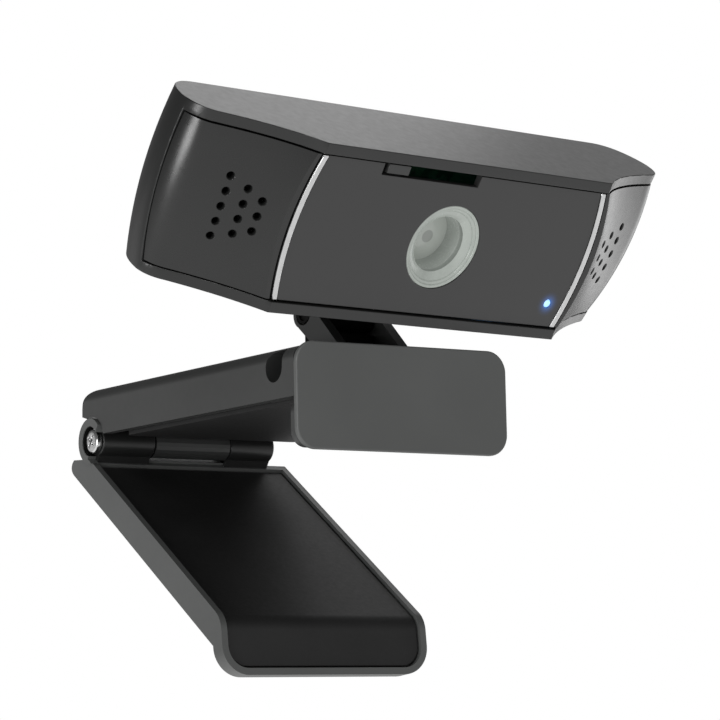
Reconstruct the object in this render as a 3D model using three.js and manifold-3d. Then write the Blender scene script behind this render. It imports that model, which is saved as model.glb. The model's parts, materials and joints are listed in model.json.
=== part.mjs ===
// Folding-clip webcam: a wide wedge-ended head tilts and pans on a slanted yoke above a two-arm monitor clip.
// Millimetres, +Z up, -Y towards the viewer. The origin is the middle of the upper arm's rubber underside.
import * as THREE from "three";
import { mergeVertices } from "three/addons/utils/BufferGeometryUtils.js";
import Module from "manifold-3d";

// ---- driving dimensions -------------------------------------------------------------------------------
const FIT = 0.1; // gap between flat faces that sit on each other
const CLEAR = 0.3; // gap around a piece that is let into another

// Upper arm of the clip
const ARM_HALF = 19.3;
const ARM_FRONT = -31.9;
const ARM_REAR = 34.7;
const ARM_TOP = 8.4;
const ARM_BOTTOM = 0.55;
const ARM_WALL = 1.7;
const ARM_EDGE = 1.2; // chamfer that stands for the rounded long edges
const SIDE_HOLE = { y: -26.3, z: 5.5, radius: 2.35, tip: 2.6, depth: 6 }; // a teardrop, blind
const SHELL_ROOF = 1.6; // the arm's top wall
const ARM_HEEL = 3.8; // length of the rounded drop at the arm's rear end
const FRONT_BLOCK = 9.5; // length of the front end that stays solid round the side hole
const SOLID_TO = -11.5; // X where that block ends
const PAD_THICK = 0.8;
const BASE_THICK = 1.4;
const BASE_SCREWS = [-12, 12];

// Front plate that hooks over the screen
const PLATE_HALF = 19.45;
const PLATE_TOP = 9.0;
const PLATE_BOTTOM = -7.5;
const PLATE_CORNER = 3.4;
const PLATE_FRONT = -33;
const PLATE_THICK = 1.0;
const BACK_PLATE_REAR = -30.4;
const PLATE_BOSSES = { x: [-8, 8], z: 4.5, radius: 1.6, length: 1.6 };

// Fold hinge
const HINGE_Y = 31.6;
const HINGE_Z = -0.4;
const HINGE_LEFT = -19.7;
const HINGE_RIGHT = 15.0;
const BARREL_RADIUS = 2.45;
const EAR_RADIUS = 3.8; // of the disc round the screw head, at the left end
const EAR_OPEN = -1.0;
const EAR_WIDTH = 1.5;
const EAR_BORE = { radius: 2.5, depth: 1.5 };
const SCREW_HEAD = { sunk: 0.2, radius: 2.0, thick: 1.1 }; // sunk: below the ear's face
const NUT_BORE = { radius: 1.9, depth: 1.2 };
const PIN_RADIUS = 1.1;
const KNUCKLE_FROM = -8.1;
const KNUCKLE_TO = 6.2;

// Lower arm, in its own frame: +X right, -Y along the arm from the hinge, +Z towards the upper arm
const FOLD_OPEN = 34.2; // degrees below the upper arm at rest
const TRAY_HALF = 19.2;
const TRAY_TOP = -3.0;
const TRAY_BOTTOM = -7.9;
// Rear end of the tray's side outline: Y where the bottom ends, the two upper corners, Y where the top begins
const TRAY_REAR = { low: 2.2, corner: [4.0, -6.5], edge: [3.8, -5.75], high: -0.8 };
const TRAY_WALL = 1.1;
const TRAY_RIM = 0.5; // from the rim down to the pad
const TRAY_DEEP = 1.8; // depth of the recess that holds the pad
const BEND = { at: 49.4, angle: 50, radius: 4.0, length: 7.1, thick: 2.8 }; // the front end's downward bend
const TIP_CORNER = 4.6;
const RECESS_REAR = -2.1;
const SKID_THICK = 0.4;
const SKID_END = 46.3;
const INSERT_AT = 26;

// Neck
const PAN_X = -0.4;
const PAN_Y = -15.9;
const TILT_Z = 15.4;
const PAN_REST = 8.2;
const TILT_REST = 32.5;
const DISC_RADIUS = 8.2;
const DISC_THICK = 1.4;
const CHEEK_INNER = 5.6;
const CHEEK_OUTER = 7.6;
const CHEEK_EYE = 2.3;
const LUG_RADIUS = 2.4;
const LUG_HALF = 5.3;
const AXLE_RADIUS = 0.9;

// Head, in its own frame: origin at the middle of the bottom front edge, +Y backwards
const HEAD_HEIGHT = 27.5;
const HEAD_DEPTH = 19.6;
const FRONT_HALF = 29.6;
const STRIP = 1.75; // height of the top and bottom strips
const LUG_Y = 16.7;
const LUG_Z = -6.6;
const WINDOW_FRONT = 0.45;
const WINDOW_THICK = 1.2;
const WINDOW_HALF = 28.35; // at the strips; the sides bow out to the middle
const BOW = 1.6;
const TRIM_WIDTH = 0.95;
const PANEL_GAP = 0.35; // dark groove between the trim and the side panel
const STRIP_GAP = 0.25; // groove between a strip and what it holds
const TAPER = 1.1; // the ends are this much wider at the top, and narrower at the bottom, than half way up
const BULGE = 1.5; // how far the side panels swell between the strips
const PANEL_THICK = 1.5;
const PANEL_SEAM = 11.2; // where the side panel meets the shell's end wall
const LENS = { x: 0.1, z: 13.3, radius: 6.96 };
const HOOD = { front: 2.5, back: 7.2, outer: 7.9, bore: 4.45 };
const DOME = { apex: 4.6, radius: 10.5, half: 4.35, back: 6.9 }; // the front lens
const BACK_OPENING = { half: 36.4, edge: 3.0 }; // edge: height left below and above it
const COVER_GAP = 0.3;
const COVER_SCREWS = { x: 32.5, rise: 8.2 };
const GLAND_Z = 8.2;
const VENTS = { from: 6, pitch: 3, width: 1.2, bottom: 11, top: 19, count: 5 };
const LUG_SCREWS = { x: [-3.4, 3.4], y: LUG_Y - 2.2 };
const BOARD = { half: 34, front: 13.7, back: 14.9, edge: 4.2 };
const MICROPHONE_X = 33.0;
const SLOT = { left: -17.3, right: 2.45, height: 2.1 };
const KNOB = { x: -14.4, width: 4.3, height: 1.5 };
const SHUTTER = { front: 1.95, thick: 0.4, half: 7.6, bottom: 6.3, top: 23.4 };
const LED = { x: 26.2, z: 5.9, radius: 0.7 };
const GRILLE_PITCH = 2.44;
const GRILLE_RADIUS = 0.6;
const GRILLE_LIFT = 0.1; // how far the middle of the holes lies above the head's middle
const MIDDLE = HEAD_HEIGHT / 2;

const rad = THREE.MathUtils.degToRad;
const wasm = await Module();
wasm.setup();

// ---- materials ----------------------------------------------------------------------------------------
const material = (color, roughness, metalness = 0) =>
  new THREE.MeshStandardMaterial({ color, roughness, metalness });
const satinBlack = material(0x2e302f, 0.42);
const plateBlack = material(0x4b4d4b, 0.55);
const windowGrey = material(0x47484a, 0.12);
const silver = material(0xb9bab8, 0.3, 0.7);
const rubber = material(0x161817, 0.85);
const matteBlack = material(0x0b0b0b, 0.7);
const steel = material(0xc4c4c2, 0.28, 1);
const brass = material(0xa88a4a, 0.35, 1);
const lensGrey = material(0x8d948c, 0.15);
const glass = material(0x9aa39b, 0.05);
const circuit = material(0x1d4a2b, 0.5);
const blueLight = material(0x4aa0ff, 0.3);

// ---- solids -------------------------------------------------------------------------------------------
function solid(geometry) {
  const bare = geometry.clone();
  bare.deleteAttribute("normal");
  bare.deleteAttribute("uv");
  const merged = mergeVertices(bare, 1e-4);
  const vertProperties = new Float32Array(merged.attributes.position.array);
  const triVerts = new Uint32Array(merged.index.array);
  return new wasm.Manifold(new wasm.Mesh({ numProp: 3, vertProperties, triVerts }));
}

function geometryOf(manifold) {
  const m = manifold.getMesh();
  const geometry = new THREE.BufferGeometry();
  geometry.setAttribute("position", new THREE.BufferAttribute(new Float32Array(m.vertProperties), 3));
  geometry.setIndex(new THREE.BufferAttribute(new Uint32Array(m.triVerts), 1));
  geometry.computeVertexNormals();
  return geometry;
}

const join = (first, ...rest) => rest.reduce((a, b) => a.add(b), first);
const cut = (first, ...rest) => rest.reduce((a, b) => a.subtract(b), first);

// A box between two corners.
function box(x0, x1, y0, y1, z0, z1) {
  const g = new THREE.BoxGeometry(x1 - x0, y1 - y0, z1 - z0);
  g.translate((x0 + x1) / 2, (y0 + y1) / 2, (z0 + z1) / 2);
  return solid(g);
}

// A rod along X, Y or Z from one coordinate to the other; a and b are its two other coordinates in order.
function rod(axis, from, to, a, b, radius, sides = 24, radiusTo = radius) {
  const g = new THREE.CylinderGeometry(radiusTo, radius, to - from, sides);
  g.translate(0, (from + to) / 2, 0);
  if (axis === "x") g.rotateZ(-Math.PI / 2).translate(0, a, b);
  if (axis === "y") g.translate(a, 0, b);
  if (axis === "z") g.rotateX(Math.PI / 2).translate(a, b, 0);
  return solid(g);
}

// A ring whose hole is cut through the rod.
function ring(axis, from, to, a, b, outer, inner, sides = 24) {
  const hole = rod(axis, from - 1, to + 1, a, b, inner, Math.max(sides, 24));
  return cut(rod(axis, from, to, a, b, outer, sides), hole);
}

// An outline in the XY plane, raised from z0 to z1.
function prismZ(shape, z0, z1, curveSegments = 8) {
  const g = new THREE.ExtrudeGeometry(shape, { depth: z1 - z0, bevelEnabled: false, curveSegments });
  return solid(g.translate(0, 0, z0));
}

// An outline whose x is Y and whose y is Z, drawn out along X from x0 to x1.
function prismX(shape, x0, x1, curveSegments = 8) {
  const g = new THREE.ExtrudeGeometry(shape, { depth: x1 - x0, bevelEnabled: false, curveSegments });
  g.rotateX(Math.PI / 2).rotateZ(Math.PI / 2);
  return solid(g.translate(x0, 0, 0));
}

// An outline whose x is X and whose y is Z, drawn out along Y from y0 to y1.
function prismY(shape, y0, y1, curveSegments = 8) {
  const g = new THREE.ExtrudeGeometry(shape, { depth: y1 - y0, bevelEnabled: false, curveSegments });
  return solid(g.rotateX(Math.PI / 2).translate(0, y1, 0));
}

function roundedRectangle(x0, x1, y0, y1, r) {
  const s = new THREE.Shape();
  s.moveTo(x0 + r, y0);
  s.lineTo(x1 - r, y0).absarc(x1 - r, y0 + r, r, -Math.PI / 2, 0);
  s.lineTo(x1, y1 - r).absarc(x1 - r, y1 - r, r, 0, Math.PI / 2);
  s.lineTo(x0 + r, y1).absarc(x0 + r, y1 - r, r, Math.PI / 2, Math.PI);
  s.lineTo(x0, y0 + r).absarc(x0 + r, y0 + r, r, Math.PI, 1.5 * Math.PI);
  return s;
}

const grown = ([x0, x1, y0, y1], by) => [x0 - by, x1 + by, y0 - by, y1 + by];

function polygon(...points) {
  return new THREE.Shape(points.map(([x, y]) => new THREE.Vector2(x, y)));
}

// A screw whose head's face looks along +axis, with a cross recess.
function screw(axis, face, a, b, headRadius, headThick, shankRadius, length) {
  const head = rod(axis, face - headThick, face, a, b, headRadius, 20);
  const shank = rod(axis, face - headThick - length, face - headThick + FIT, a, b, shankRadius, 16);
  const arm = headRadius * 0.6;
  const thin = headRadius * 0.16;
  const recess = [
    [arm, thin],
    [thin, arm],
  ].map(([u, v]) => {
    const lo = face - headThick * 0.45;
    if (axis === "x") return box(lo, face + 1, a - u, a + u, b - v, b + v);
    if (axis === "y") return box(a - u, a + u, lo, face + 1, b - v, b + v);
    return box(a - u, a + u, b - v, b + v, lo, face + 1);
  });
  return cut(join(head, shank), ...recess);
}

const parts = new THREE.Group();
function part(group, name, manifold, look) {
  const mesh = new THREE.Mesh(geometryOf(manifold), look);
  mesh.name = name;
  group.add(mesh);
  return mesh;
}

// ---- upper arm ----------------------------------------------------------------------------------------
// The blind teardrop hole in the arm's left side: a round bore drawn out to a tip at its upper front.
function sideHole() {
  const { y, z, radius, tip, depth } = SIDE_HOLE;
  const s = new THREE.Shape();
  s.moveTo(y - tip, z + tip);
  s.absarc(y, z, radius, Math.PI, 0.5 * Math.PI + 2 * Math.PI, false);
  return prismX(s, -ARM_HALF - 1, -ARM_HALF + depth, 24);
}

function upperArm(group) {
  const profile = new THREE.Shape();
  profile.moveTo(ARM_FRONT, ARM_BOTTOM);
  profile.lineTo(HINGE_Y - 1.3, ARM_BOTTOM);
  profile.lineTo(HINGE_Y + 1.6, HINGE_Z + EAR_RADIUS + FIT);
  profile.lineTo(ARM_REAR, HINGE_Z + EAR_RADIUS + 0.5);
  profile.lineTo(ARM_REAR, ARM_TOP - ARM_HEEL + 0.2);
  profile.quadraticCurveTo(ARM_REAR, ARM_TOP, ARM_REAR - ARM_HEEL, ARM_TOP);
  profile.lineTo(ARM_FRONT, ARM_TOP);
  const section = polygon(
    [-ARM_HALF, -5],
    [ARM_HALF, -5],
    [ARM_HALF, ARM_TOP - ARM_EDGE],
    [ARM_HALF - ARM_EDGE * 0.3, ARM_TOP - ARM_EDGE * 0.3],
    [ARM_HALF - ARM_EDGE, ARM_TOP],
    [-ARM_HALF + ARM_EDGE, ARM_TOP],
    [-ARM_HALF + ARM_EDGE * 0.3, ARM_TOP - ARM_EDGE * 0.3],
    [-ARM_HALF, ARM_TOP - ARM_EDGE],
  );
  const block = prismX(profile, -ARM_HALF, ARM_HALF).intersect(prismY(section, ARM_FRONT, ARM_REAR));
  const inner = ARM_HALF - ARM_WALL;
  const roof = ARM_TOP - SHELL_ROOF;
  const blockRear = ARM_FRONT + FRONT_BLOCK;
  const hollow = box(-inner, inner, blockRear, HINGE_Y - 6, -1, roof);
  const frontHollow = box(SOLID_TO, inner, ARM_FRONT + ARM_WALL, blockRear + 1, -1, roof);
  const hingeBay = box(-inner, inner, HINGE_Y - 7, HINGE_Y + 3.5, -5, HINGE_Z + EAR_RADIUS + 0.6);
  const earRoom = rod("x", -ARM_HALF - 1, ARM_HALF + 1, HINGE_Y, HINGE_Z, EAR_RADIUS + CLEAR, 40);
  const panHole = rod("z", 0, ARM_TOP + 1, PAN_X, PAN_Y, 2.4);
  const bossHoles = PLATE_BOSSES.x.map((x) =>
    rod("y", ARM_FRONT - 1, ARM_FRONT + 3, x, PLATE_BOSSES.z, PLATE_BOSSES.radius + FIT, 20),
  );
  const baseHalf = inner - CLEAR;
  const padSides = [-baseHalf + 0.6, baseHalf - 0.6, ARM_FRONT + 2.8, HINGE_Y - 7];
  const pocket = prismZ(roundedRectangle(...grown(padSides, CLEAR), 1.6), -1, PAD_THICK + FIT);
  const shell = cut(block, hollow, frontHollow, hingeBay, earRoom, sideHole(), panHole, pocket, ...bossHoles);
  part(group, "upper_arm_shell", shell, satinBlack);

  // The base closes the shell from below and carries the middle hinge knuckle.
  const baseBottom = PAD_THICK + FIT;
  const baseTop = baseBottom + BASE_THICK;
  const base = box(-baseHalf, baseHalf, blockRear + 2, HINGE_Y - 6.3, baseBottom, baseTop);
  const tongue = box(KNUCKLE_FROM, KNUCKLE_TO, HINGE_Y - 7, HINGE_Y - 1, baseBottom, baseTop);
  const knuckle = rod("x", KNUCKLE_FROM, KNUCKLE_TO, HINGE_Y, HINGE_Z, BARREL_RADIUS);
  const pinHole = rod("x", KNUCKLE_FROM - 1, KNUCKLE_TO + 1, HINGE_Y, HINGE_Z, PIN_RADIUS + 0.15);
  const screwHoles = BASE_SCREWS.flatMap((y) => [
    rod("z", 0, 5, 0, y, 1.2, 16),
    rod("z", 0, baseBottom + 0.95, 0, y, 2.05, 20),
  ]);
  part(group, "upper_arm_base", cut(join(base, tongue, knuckle), pinHole, ...screwHoles), matteBlack);
  BASE_SCREWS.forEach((y, i) => {
    const body = screw("z", -baseBottom, 0, -y, 1.9, 0.9, 0.9, 3.2);
    part(group, "base_screw_" + (i + 1), body, steel).rotation.x = Math.PI; // its head looks down
  });

  part(group, "upper_grip_pad", prismZ(roundedRectangle(...padSides, 1.5), 0, PAD_THICK), rubber);
}

// ---- front plate --------------------------------------------------------------------------------------
function frontPlate(group) {
  const seam = PLATE_FRONT + PLATE_THICK;
  const outline = roundedRectangle(-PLATE_HALF, PLATE_HALF, PLATE_BOTTOM, PLATE_TOP, PLATE_CORNER);
  const boss = PLATE_BOSSES;
  const bosses = boss.x.map((x) => rod("y", seam - FIT, seam + boss.length, x, boss.z, boss.radius, 20));
  const pilots = boss.x.map((x) => rod("y", seam - 0.6, seam + 3, x, boss.z, 0.95, 16));
  const front = cut(join(prismY(outline, PLATE_FRONT, seam), ...bosses), ...pilots);
  part(group, "clip_front_plate", front, plateBlack);

  // Backing plate below the arm, and the pad that faces the screen.
  const inset = 0.4;
  const side = PLATE_HALF - inset;
  const back = roundedRectangle(-side, side, PLATE_BOTTOM + inset, ARM_BOTTOM - FIT, 2.4);
  part(group, "clip_back_plate", prismY(back, seam + FIT, BACK_PLATE_REAR), satinBlack);
  const lip = roundedRectangle(-side + 2, side - 2, PLATE_BOTTOM + 1.2, ARM_BOTTOM - 0.7, 1.4);
  part(group, "lip_grip_pad", prismY(lip, BACK_PLATE_REAR + FIT, BACK_PLATE_REAR + FIT + PAD_THICK), rubber);
  boss.x.forEach((x, i) => {
    const body = screw("y", ARM_FRONT + ARM_WALL + 1.0, x, boss.z, 2.2, 0.9, 0.8, 2.1);
    part(group, "plate_screw_" + ["left", "right"][i], body, steel);
  });
}

// ---- lower arm ----------------------------------------------------------------------------------------
// The tray's side outline at a depth below its top face: flat on top, then a bend, then a straight end.
// It stops short of the tip by the given length; the bottom and the back of the bent end close it below.
function traySide(depth, short, bottom) {
  const turn = rad(BEND.angle);
  const radius = BEND.radius - depth;
  const centre = [-BEND.at, TRAY_TOP - BEND.radius];
  const along = new THREE.Vector2(-Math.cos(turn), -Math.sin(turn));
  const inward = new THREE.Vector2(Math.sin(turn), -Math.cos(turn));
  const bendEnd = new THREE.Vector2(...centre).addScaledVector(inward, -radius);
  const tip = bendEnd.clone().addScaledVector(along, BEND.length - short);
  const heel = tip.clone().addScaledVector(inward, BEND.thick - depth);
  const rise = (bottom - heel.y) / Math.sin(turn);
  const root = heel.clone().addScaledVector(along, -rise);
  const top = TRAY_TOP - depth;
  const s = new THREE.Shape();
  s.moveTo(TRAY_REAR.low, bottom);
  s.quadraticCurveTo(TRAY_REAR.corner[0], TRAY_BOTTOM, ...TRAY_REAR.corner);
  s.lineTo(...TRAY_REAR.edge);
  s.lineTo(TRAY_REAR.high, top);
  s.lineTo(-BEND.at, top);
  s.absarc(...centre, radius, Math.PI / 2, Math.PI / 2 + turn, false);
  s.lineTo(tip.x, tip.y);
  s.lineTo(heel.x, heel.y);
  s.lineTo(root.x, root.y);
  return s;
}

// A solid that holds everything between the side lines and above a line across the bent end, whose lower
// corners are rounded in the plane of that end.
function trayOutline(half, short, corner, rear) {
  const turn = rad(BEND.angle);
  const tipY = -BEND.at - BEND.radius * Math.sin(turn) - (BEND.length - short) * Math.cos(turn);
  const tipZ = TRAY_TOP - BEND.radius * (1 - Math.cos(turn)) - (BEND.length - short) * Math.sin(turn);
  const g = new THREE.ExtrudeGeometry(roundedRectangle(-half, half, 0, 90, corner), {
    depth: 140,
    bevelEnabled: false,
    curveSegments: 8,
  });
  g.translate(0, 0, -70);
  g.rotateX(turn);
  g.translate(0, tipY, tipZ);
  return solid(g).intersect(box(-half - 1, half + 1, -90, rear, -30, 10));
}

function lowerArm(group) {
  const side = traySide(0, 0, TRAY_BOTTOM);
  const outline = trayOutline(TRAY_HALF, 0, TIP_CORNER, TRAY_REAR.corner[0] + 3);
  const body = prismX(side, -TRAY_HALF - 1, TRAY_HALF + 1, 10).intersect(outline);
  const innerHalf = TRAY_HALF - TRAY_WALL;
  const innerCorner = TIP_CORNER - TRAY_WALL;
  // Everything under the tray's top surface at a depth, wider than the tray and running on past its tip.
  const under = (depth, half) => prismX(traySide(depth, -9, -30), -half, half, 10);
  const recess = cut(trayOutline(innerHalf, TRAY_WALL, innerCorner, RECESS_REAR), under(TRAY_DEEP, 31));

  const barrels = [
    [HINGE_LEFT, KNUCKLE_FROM - CLEAR],
    [KNUCKLE_TO + CLEAR, HINGE_RIGHT],
  ].map(([from, to]) =>
    join(
      rod("x", from, to, 0, 0, BARREL_RADIUS, 32),
      box(Math.max(from, -TRAY_HALF), to, -1.8, 2.0, TRAY_TOP - 2.4, -1.0),
    ),
  );
  const ear = rod("x", HINGE_LEFT, HINGE_LEFT + EAR_WIDTH, 0, 0, EAR_RADIUS, 40);
  const web = box(KNUCKLE_FROM - 1, KNUCKLE_TO + 1, -1.2, 2.4, TRAY_TOP - 2.4, -2.2);
  const pinHole = rod("x", -30, 30, 0, 0, PIN_RADIUS + 0.15);
  // The ear is open at its front, so that the screw's head shows from that side.
  const bores = [
    rod("x", HINGE_LEFT - 1, HINGE_LEFT + EAR_BORE.depth, 0, 0, EAR_BORE.radius, 32),
    box(HINGE_LEFT - 1, HINGE_LEFT + EAR_BORE.depth, -EAR_RADIUS - 1, EAR_OPEN, TRAY_TOP + 0.2, EAR_RADIUS + 1),
    rod("x", HINGE_RIGHT - NUT_BORE.depth, HINGE_RIGHT + 1, 0, 0, NUT_BORE.radius),
  ];
  const insertHole = rod("z", -14, 0, 0, -INSERT_AT, 4.3);
  const knuckleRoom = rod("x", KNUCKLE_FROM - CLEAR, KNUCKLE_TO + CLEAR, 0, 0, BARREL_RADIUS + 0.4);
  const tray = cut(join(cut(body, recess), ...barrels, ear, web), pinHole, knuckleRoom, ...bores, insertHole);
  part(group, "lower_arm_tray", tray, satinBlack);

  // The pad fills the recess and follows the bent end a little below the rim.
  const padLayer = cut(under(TRAY_RIM, 31), under(TRAY_DEEP - FIT, 32));
  const padEdge = TRAY_WALL + CLEAR;
  const padOutline = trayOutline(TRAY_HALF - padEdge, padEdge, innerCorner - CLEAR, RECESS_REAR - CLEAR);
  part(group, "lower_grip_pad", padLayer.intersect(padOutline), rubber);

  const skidPlan = roundedRectangle(-TRAY_HALF + 1.2, TRAY_HALF - 1.2, -SKID_END, 1.6, 2);
  const skid = prismZ(skidPlan, TRAY_BOTTOM - FIT - SKID_THICK, TRAY_BOTTOM - FIT);
  const skidHole = rod("z", -14, 0, 0, -INSERT_AT, 4.6);
  part(group, "skid_plate", cut(skid, skidHole), plateBlack);

  const insertTop = TRAY_TOP - TRAY_DEEP - CLEAR;
  const insert = cut(
    rod("z", TRAY_BOTTOM - 0.2, insertTop, 0, -INSERT_AT, 4.1, 24),
    rod("z", -14, 0, 0, -INSERT_AT, 3.1, 24),
  );
  part(group, "tripod_insert", insert, brass);

  const headBack = HINGE_LEFT + SCREW_HEAD.sunk + SCREW_HEAD.thick;
  const pinBody = join(
    rod("x", headBack - FIT, HINGE_RIGHT - 0.2, 0, 0, PIN_RADIUS),
    screwHead(HINGE_LEFT + SCREW_HEAD.sunk, SCREW_HEAD.radius, SCREW_HEAD.thick),
  );
  part(group, "hinge_screw", pinBody, steel);
  const nutFrom = HINGE_RIGHT - NUT_BORE.depth + FIT;
  const nut = ring("x", nutFrom, HINGE_RIGHT - FIT, 0, 0, 1.75, PIN_RADIUS + 0.1, 6);
  part(group, "hinge_nut", nut, steel);
}

// A pan head that faces -X at the hinge's left end, with a cross recess.
function screwHead(face, radius, thick) {
  const head = rod("x", face, face + thick, 0, 0, radius, 28);
  const slots = [
    [radius * 0.62, 0.24],
    [0.24, radius * 0.62],
  ].map(([u, v]) => box(face - 1, face + 0.55, -u, u, -v, v));
  return cut(head, ...slots);
}

// Thin washers between the knuckles, on the hinge line.
function hingeWashers(group) {
  const width = CLEAR - 0.1;
  [KNUCKLE_FROM - CLEAR + 0.05, KNUCKLE_TO + 0.05].forEach((from, i) => {
    const body = ring("x", from, from + width, 0, 0, 2.4, PIN_RADIUS + 0.1);
    part(group, "hinge_washer_" + ["left", "right"][i], body, steel);
  });
}

// ---- neck ---------------------------------------------------------------------------------------------
// Frame: origin on the tilt axis, turned with the head's pan.
function neck(group) {
  const deck = ARM_TOP + FIT - TILT_Z;
  const discTop = deck + DISC_THICK;
  const disc = rod("z", deck, discTop, 0, 0, DISC_RADIUS, 40);
  const cheekShape = new THREE.Shape();
  cheekShape.moveTo(-8.0, discTop - 0.4);
  cheekShape.lineTo(-3.2, discTop - 0.4);
  cheekShape.lineTo(1.4, -1.75);
  cheekShape.absarc(0, 0, CHEEK_EYE, rad(-52), rad(128), false);
  cheekShape.lineTo(-8.0, discTop + 0.2);
  const reach = rod("z", -20, 20, 0, 0, 10.5, 40);
  const cheeks = [-1, 1].map((side) => {
    const from = side < 0 ? -CHEEK_OUTER : CHEEK_INNER;
    return prismX(cheekShape, from, from + CHEEK_OUTER - CHEEK_INNER, 12).intersect(reach);
  });
  const axleHole = rod("x", -20, 20, 0, 0, AXLE_RADIUS + 0.15, 16);
  const nutRoom = rod("x", -20, -CHEEK_OUTER + 0.9, 0, 0, 1.7, 20);
  const panHole = rod("z", deck - 1, discTop + 1, 0, 0, 1.5, 20);
  const yoke = cut(join(disc, ...cheeks), axleHole, nutRoom, panHole);
  part(group, "neck_yoke", yoke, satinBlack);

  const core = box(-CHEEK_INNER + CLEAR, CHEEK_INNER - CLEAR, -2.4, 2.4, discTop + FIT, -LUG_RADIUS - 0.25);
  const screwRoom = rod("z", deck - 1, 0, 0, 0, 2.2, 20);
  part(group, "neck_core", cut(core, screwRoom), matteBlack);

  const axle = screw("x", CHEEK_OUTER + 0.9, 0, 0, 1.6, 0.8, AXLE_RADIUS, 2 * CHEEK_OUTER - 0.2);
  part(group, "tilt_screw", axle, matteBlack);
  const nut = ring("x", -CHEEK_OUTER + 0.05, -CHEEK_OUTER + 0.8, 0, 0, 1.55, AXLE_RADIUS + 0.1, 6);
  part(group, "tilt_nut", nut, matteBlack);

  const panScrew = join(
    rod("z", discTop + 0.05, discTop + 0.95, 0, 0, 2.0, 20),
    rod("z", deck - 4.6, discTop + 0.2, 0, 0, 1.2, 16),
  );
  part(group, "pan_screw", panScrew, steel);
  part(group, "pan_washer", ring("z", deck - 2.6, deck - 1.95, 0, 0, 4.2, 1.4), steel);
  part(group, "pan_nut", ring("z", deck - 4.3, deck - 2.7, 0, 0, 2.6, 1.3, 6), steel);
}

// ---- head ---------------------------------------------------------------------------------------------
// Right half of the head's plan at a height, from the front corner to the middle of the back.
function headCurves(z = MIDDLE) {
  const lean = (TAPER * (z - MIDDLE)) / MIDDLE;
  const v = (x, y) => new THREE.Vector2(x, y);
  const wingEnd = v(44.2 + lean, 8.0 - 0.6 * lean);
  const widest = v(47.2 + lean, 12.2);
  const heel = v(45.9 + 0.9 * lean, 16.8);
  return [
    new THREE.QuadraticBezierCurve(v(FRONT_HALF, 0), v(34.9, 4.9), wingEnd),
    new THREE.QuadraticBezierCurve(wingEnd, v(47.0 + lean, 8.9 - 0.6 * lean), widest),
    new THREE.QuadraticBezierCurve(widest, v(47.1 + lean, 14.6), heel),
    new THREE.QuadraticBezierCurve(heel, v(44.3 + 0.8 * lean, HEAD_DEPTH), v(41.6, HEAD_DEPTH)),
  ];
}

// Unit normals on the outer side of a row of plan points.
const outwards = (points) =>
  points.map((_, i) => {
    const a = points[Math.max(i - 1, 0)];
    const b = points[Math.min(i + 1, points.length - 1)];
    return new THREE.Vector2(b.y - a.y, a.x - b.x).normalize();
  });

function headPlan(z) {
  const right = headCurves(z).flatMap((c, i) => c.getPoints([8, 4, 2, 5][i]).slice(i ? 1 : 0));
  const left = right.map((p) => new THREE.Vector2(-p.x, p.y)).reverse();
  return new THREE.Shape([...left, ...right].reverse());
}

// A wall that follows a row of plan points for each height, swells by swell(z) outwards and is thick deep.
function wall(pointsAt, z0, z1, rows, swell, thick) {
  const n = pointsAt(z0).length;
  const outer = [];
  const innerSide = [];
  for (let k = 0; k <= rows; k++) {
    const z = z0 + ((z1 - z0) * k) / rows;
    const points = pointsAt(z);
    outwards(points).forEach((normal, i) => {
      const shell = points[i].clone().addScaledVector(normal, swell(z));
      const back = points[i].clone().addScaledVector(normal, -thick);
      outer.push(shell.x, shell.y, z);
      innerSide.push(back.x, back.y, z);
    });
  }
  const inner = outer.length / 3;
  const index = [];
  const quad = (a, b, c, d) => index.push(a, b, c, a, c, d);
  const at = (k, i) => k * n + i;
  for (let k = 0; k < rows; k++) {
    for (let i = 0; i < n - 1; i++) {
      quad(at(k, i), at(k, i + 1), at(k + 1, i + 1), at(k + 1, i));
      quad(inner + at(k, i), inner + at(k + 1, i), inner + at(k + 1, i + 1), inner + at(k, i + 1));
    }
    quad(at(k, 0), at(k + 1, 0), inner + at(k + 1, 0), inner + at(k, 0));
    quad(at(k, n - 1), inner + at(k, n - 1), inner + at(k + 1, n - 1), at(k + 1, n - 1));
  }
  for (let i = 0; i < n - 1; i++) {
    quad(at(0, i), inner + at(0, i), inner + at(0, i + 1), at(0, i + 1));
    quad(at(rows, i), at(rows, i + 1), inner + at(rows, i + 1), inner + at(rows, i));
  }
  const g = new THREE.BufferGeometry();
  g.setAttribute("position", new THREE.Float32BufferAttribute([...outer, ...innerSide], 3));
  g.setIndex(index);
  return solid(g);
}

const mirrorX = (manifold) => manifold.mirror([1, 0, 0]);
const arch = (z) => 1 - ((z - MIDDLE) / MIDDLE) ** 2; // 0 at the head's top and bottom, 1 half way up

// Half-width of the window's bowed side, or of a line parallel to it, at height z.
const bowed = (z, offset = 0) => WINDOW_HALF + offset + BOW * (1 - ((z - MIDDLE) / (MIDDLE - STRIP)) ** 2);

// The flat figure between two lines parallel to the bowed side, for x > 0.
function bowedBand(z0, z1, innerOffset, outerOffset, steps = 12) {
  const pts = [];
  for (let k = 0; k <= steps; k++) {
    const z = z0 + ((z1 - z0) * k) / steps;
    pts.push([bowed(z, outerOffset), z]);
  }
  for (let k = steps; k >= 0; k--) {
    const z = z0 + ((z1 - z0) * k) / steps;
    pts.push([innerOffset === null ? 0 : bowed(z, innerOffset), z]);
  }
  return polygon(...pts);
}

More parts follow.
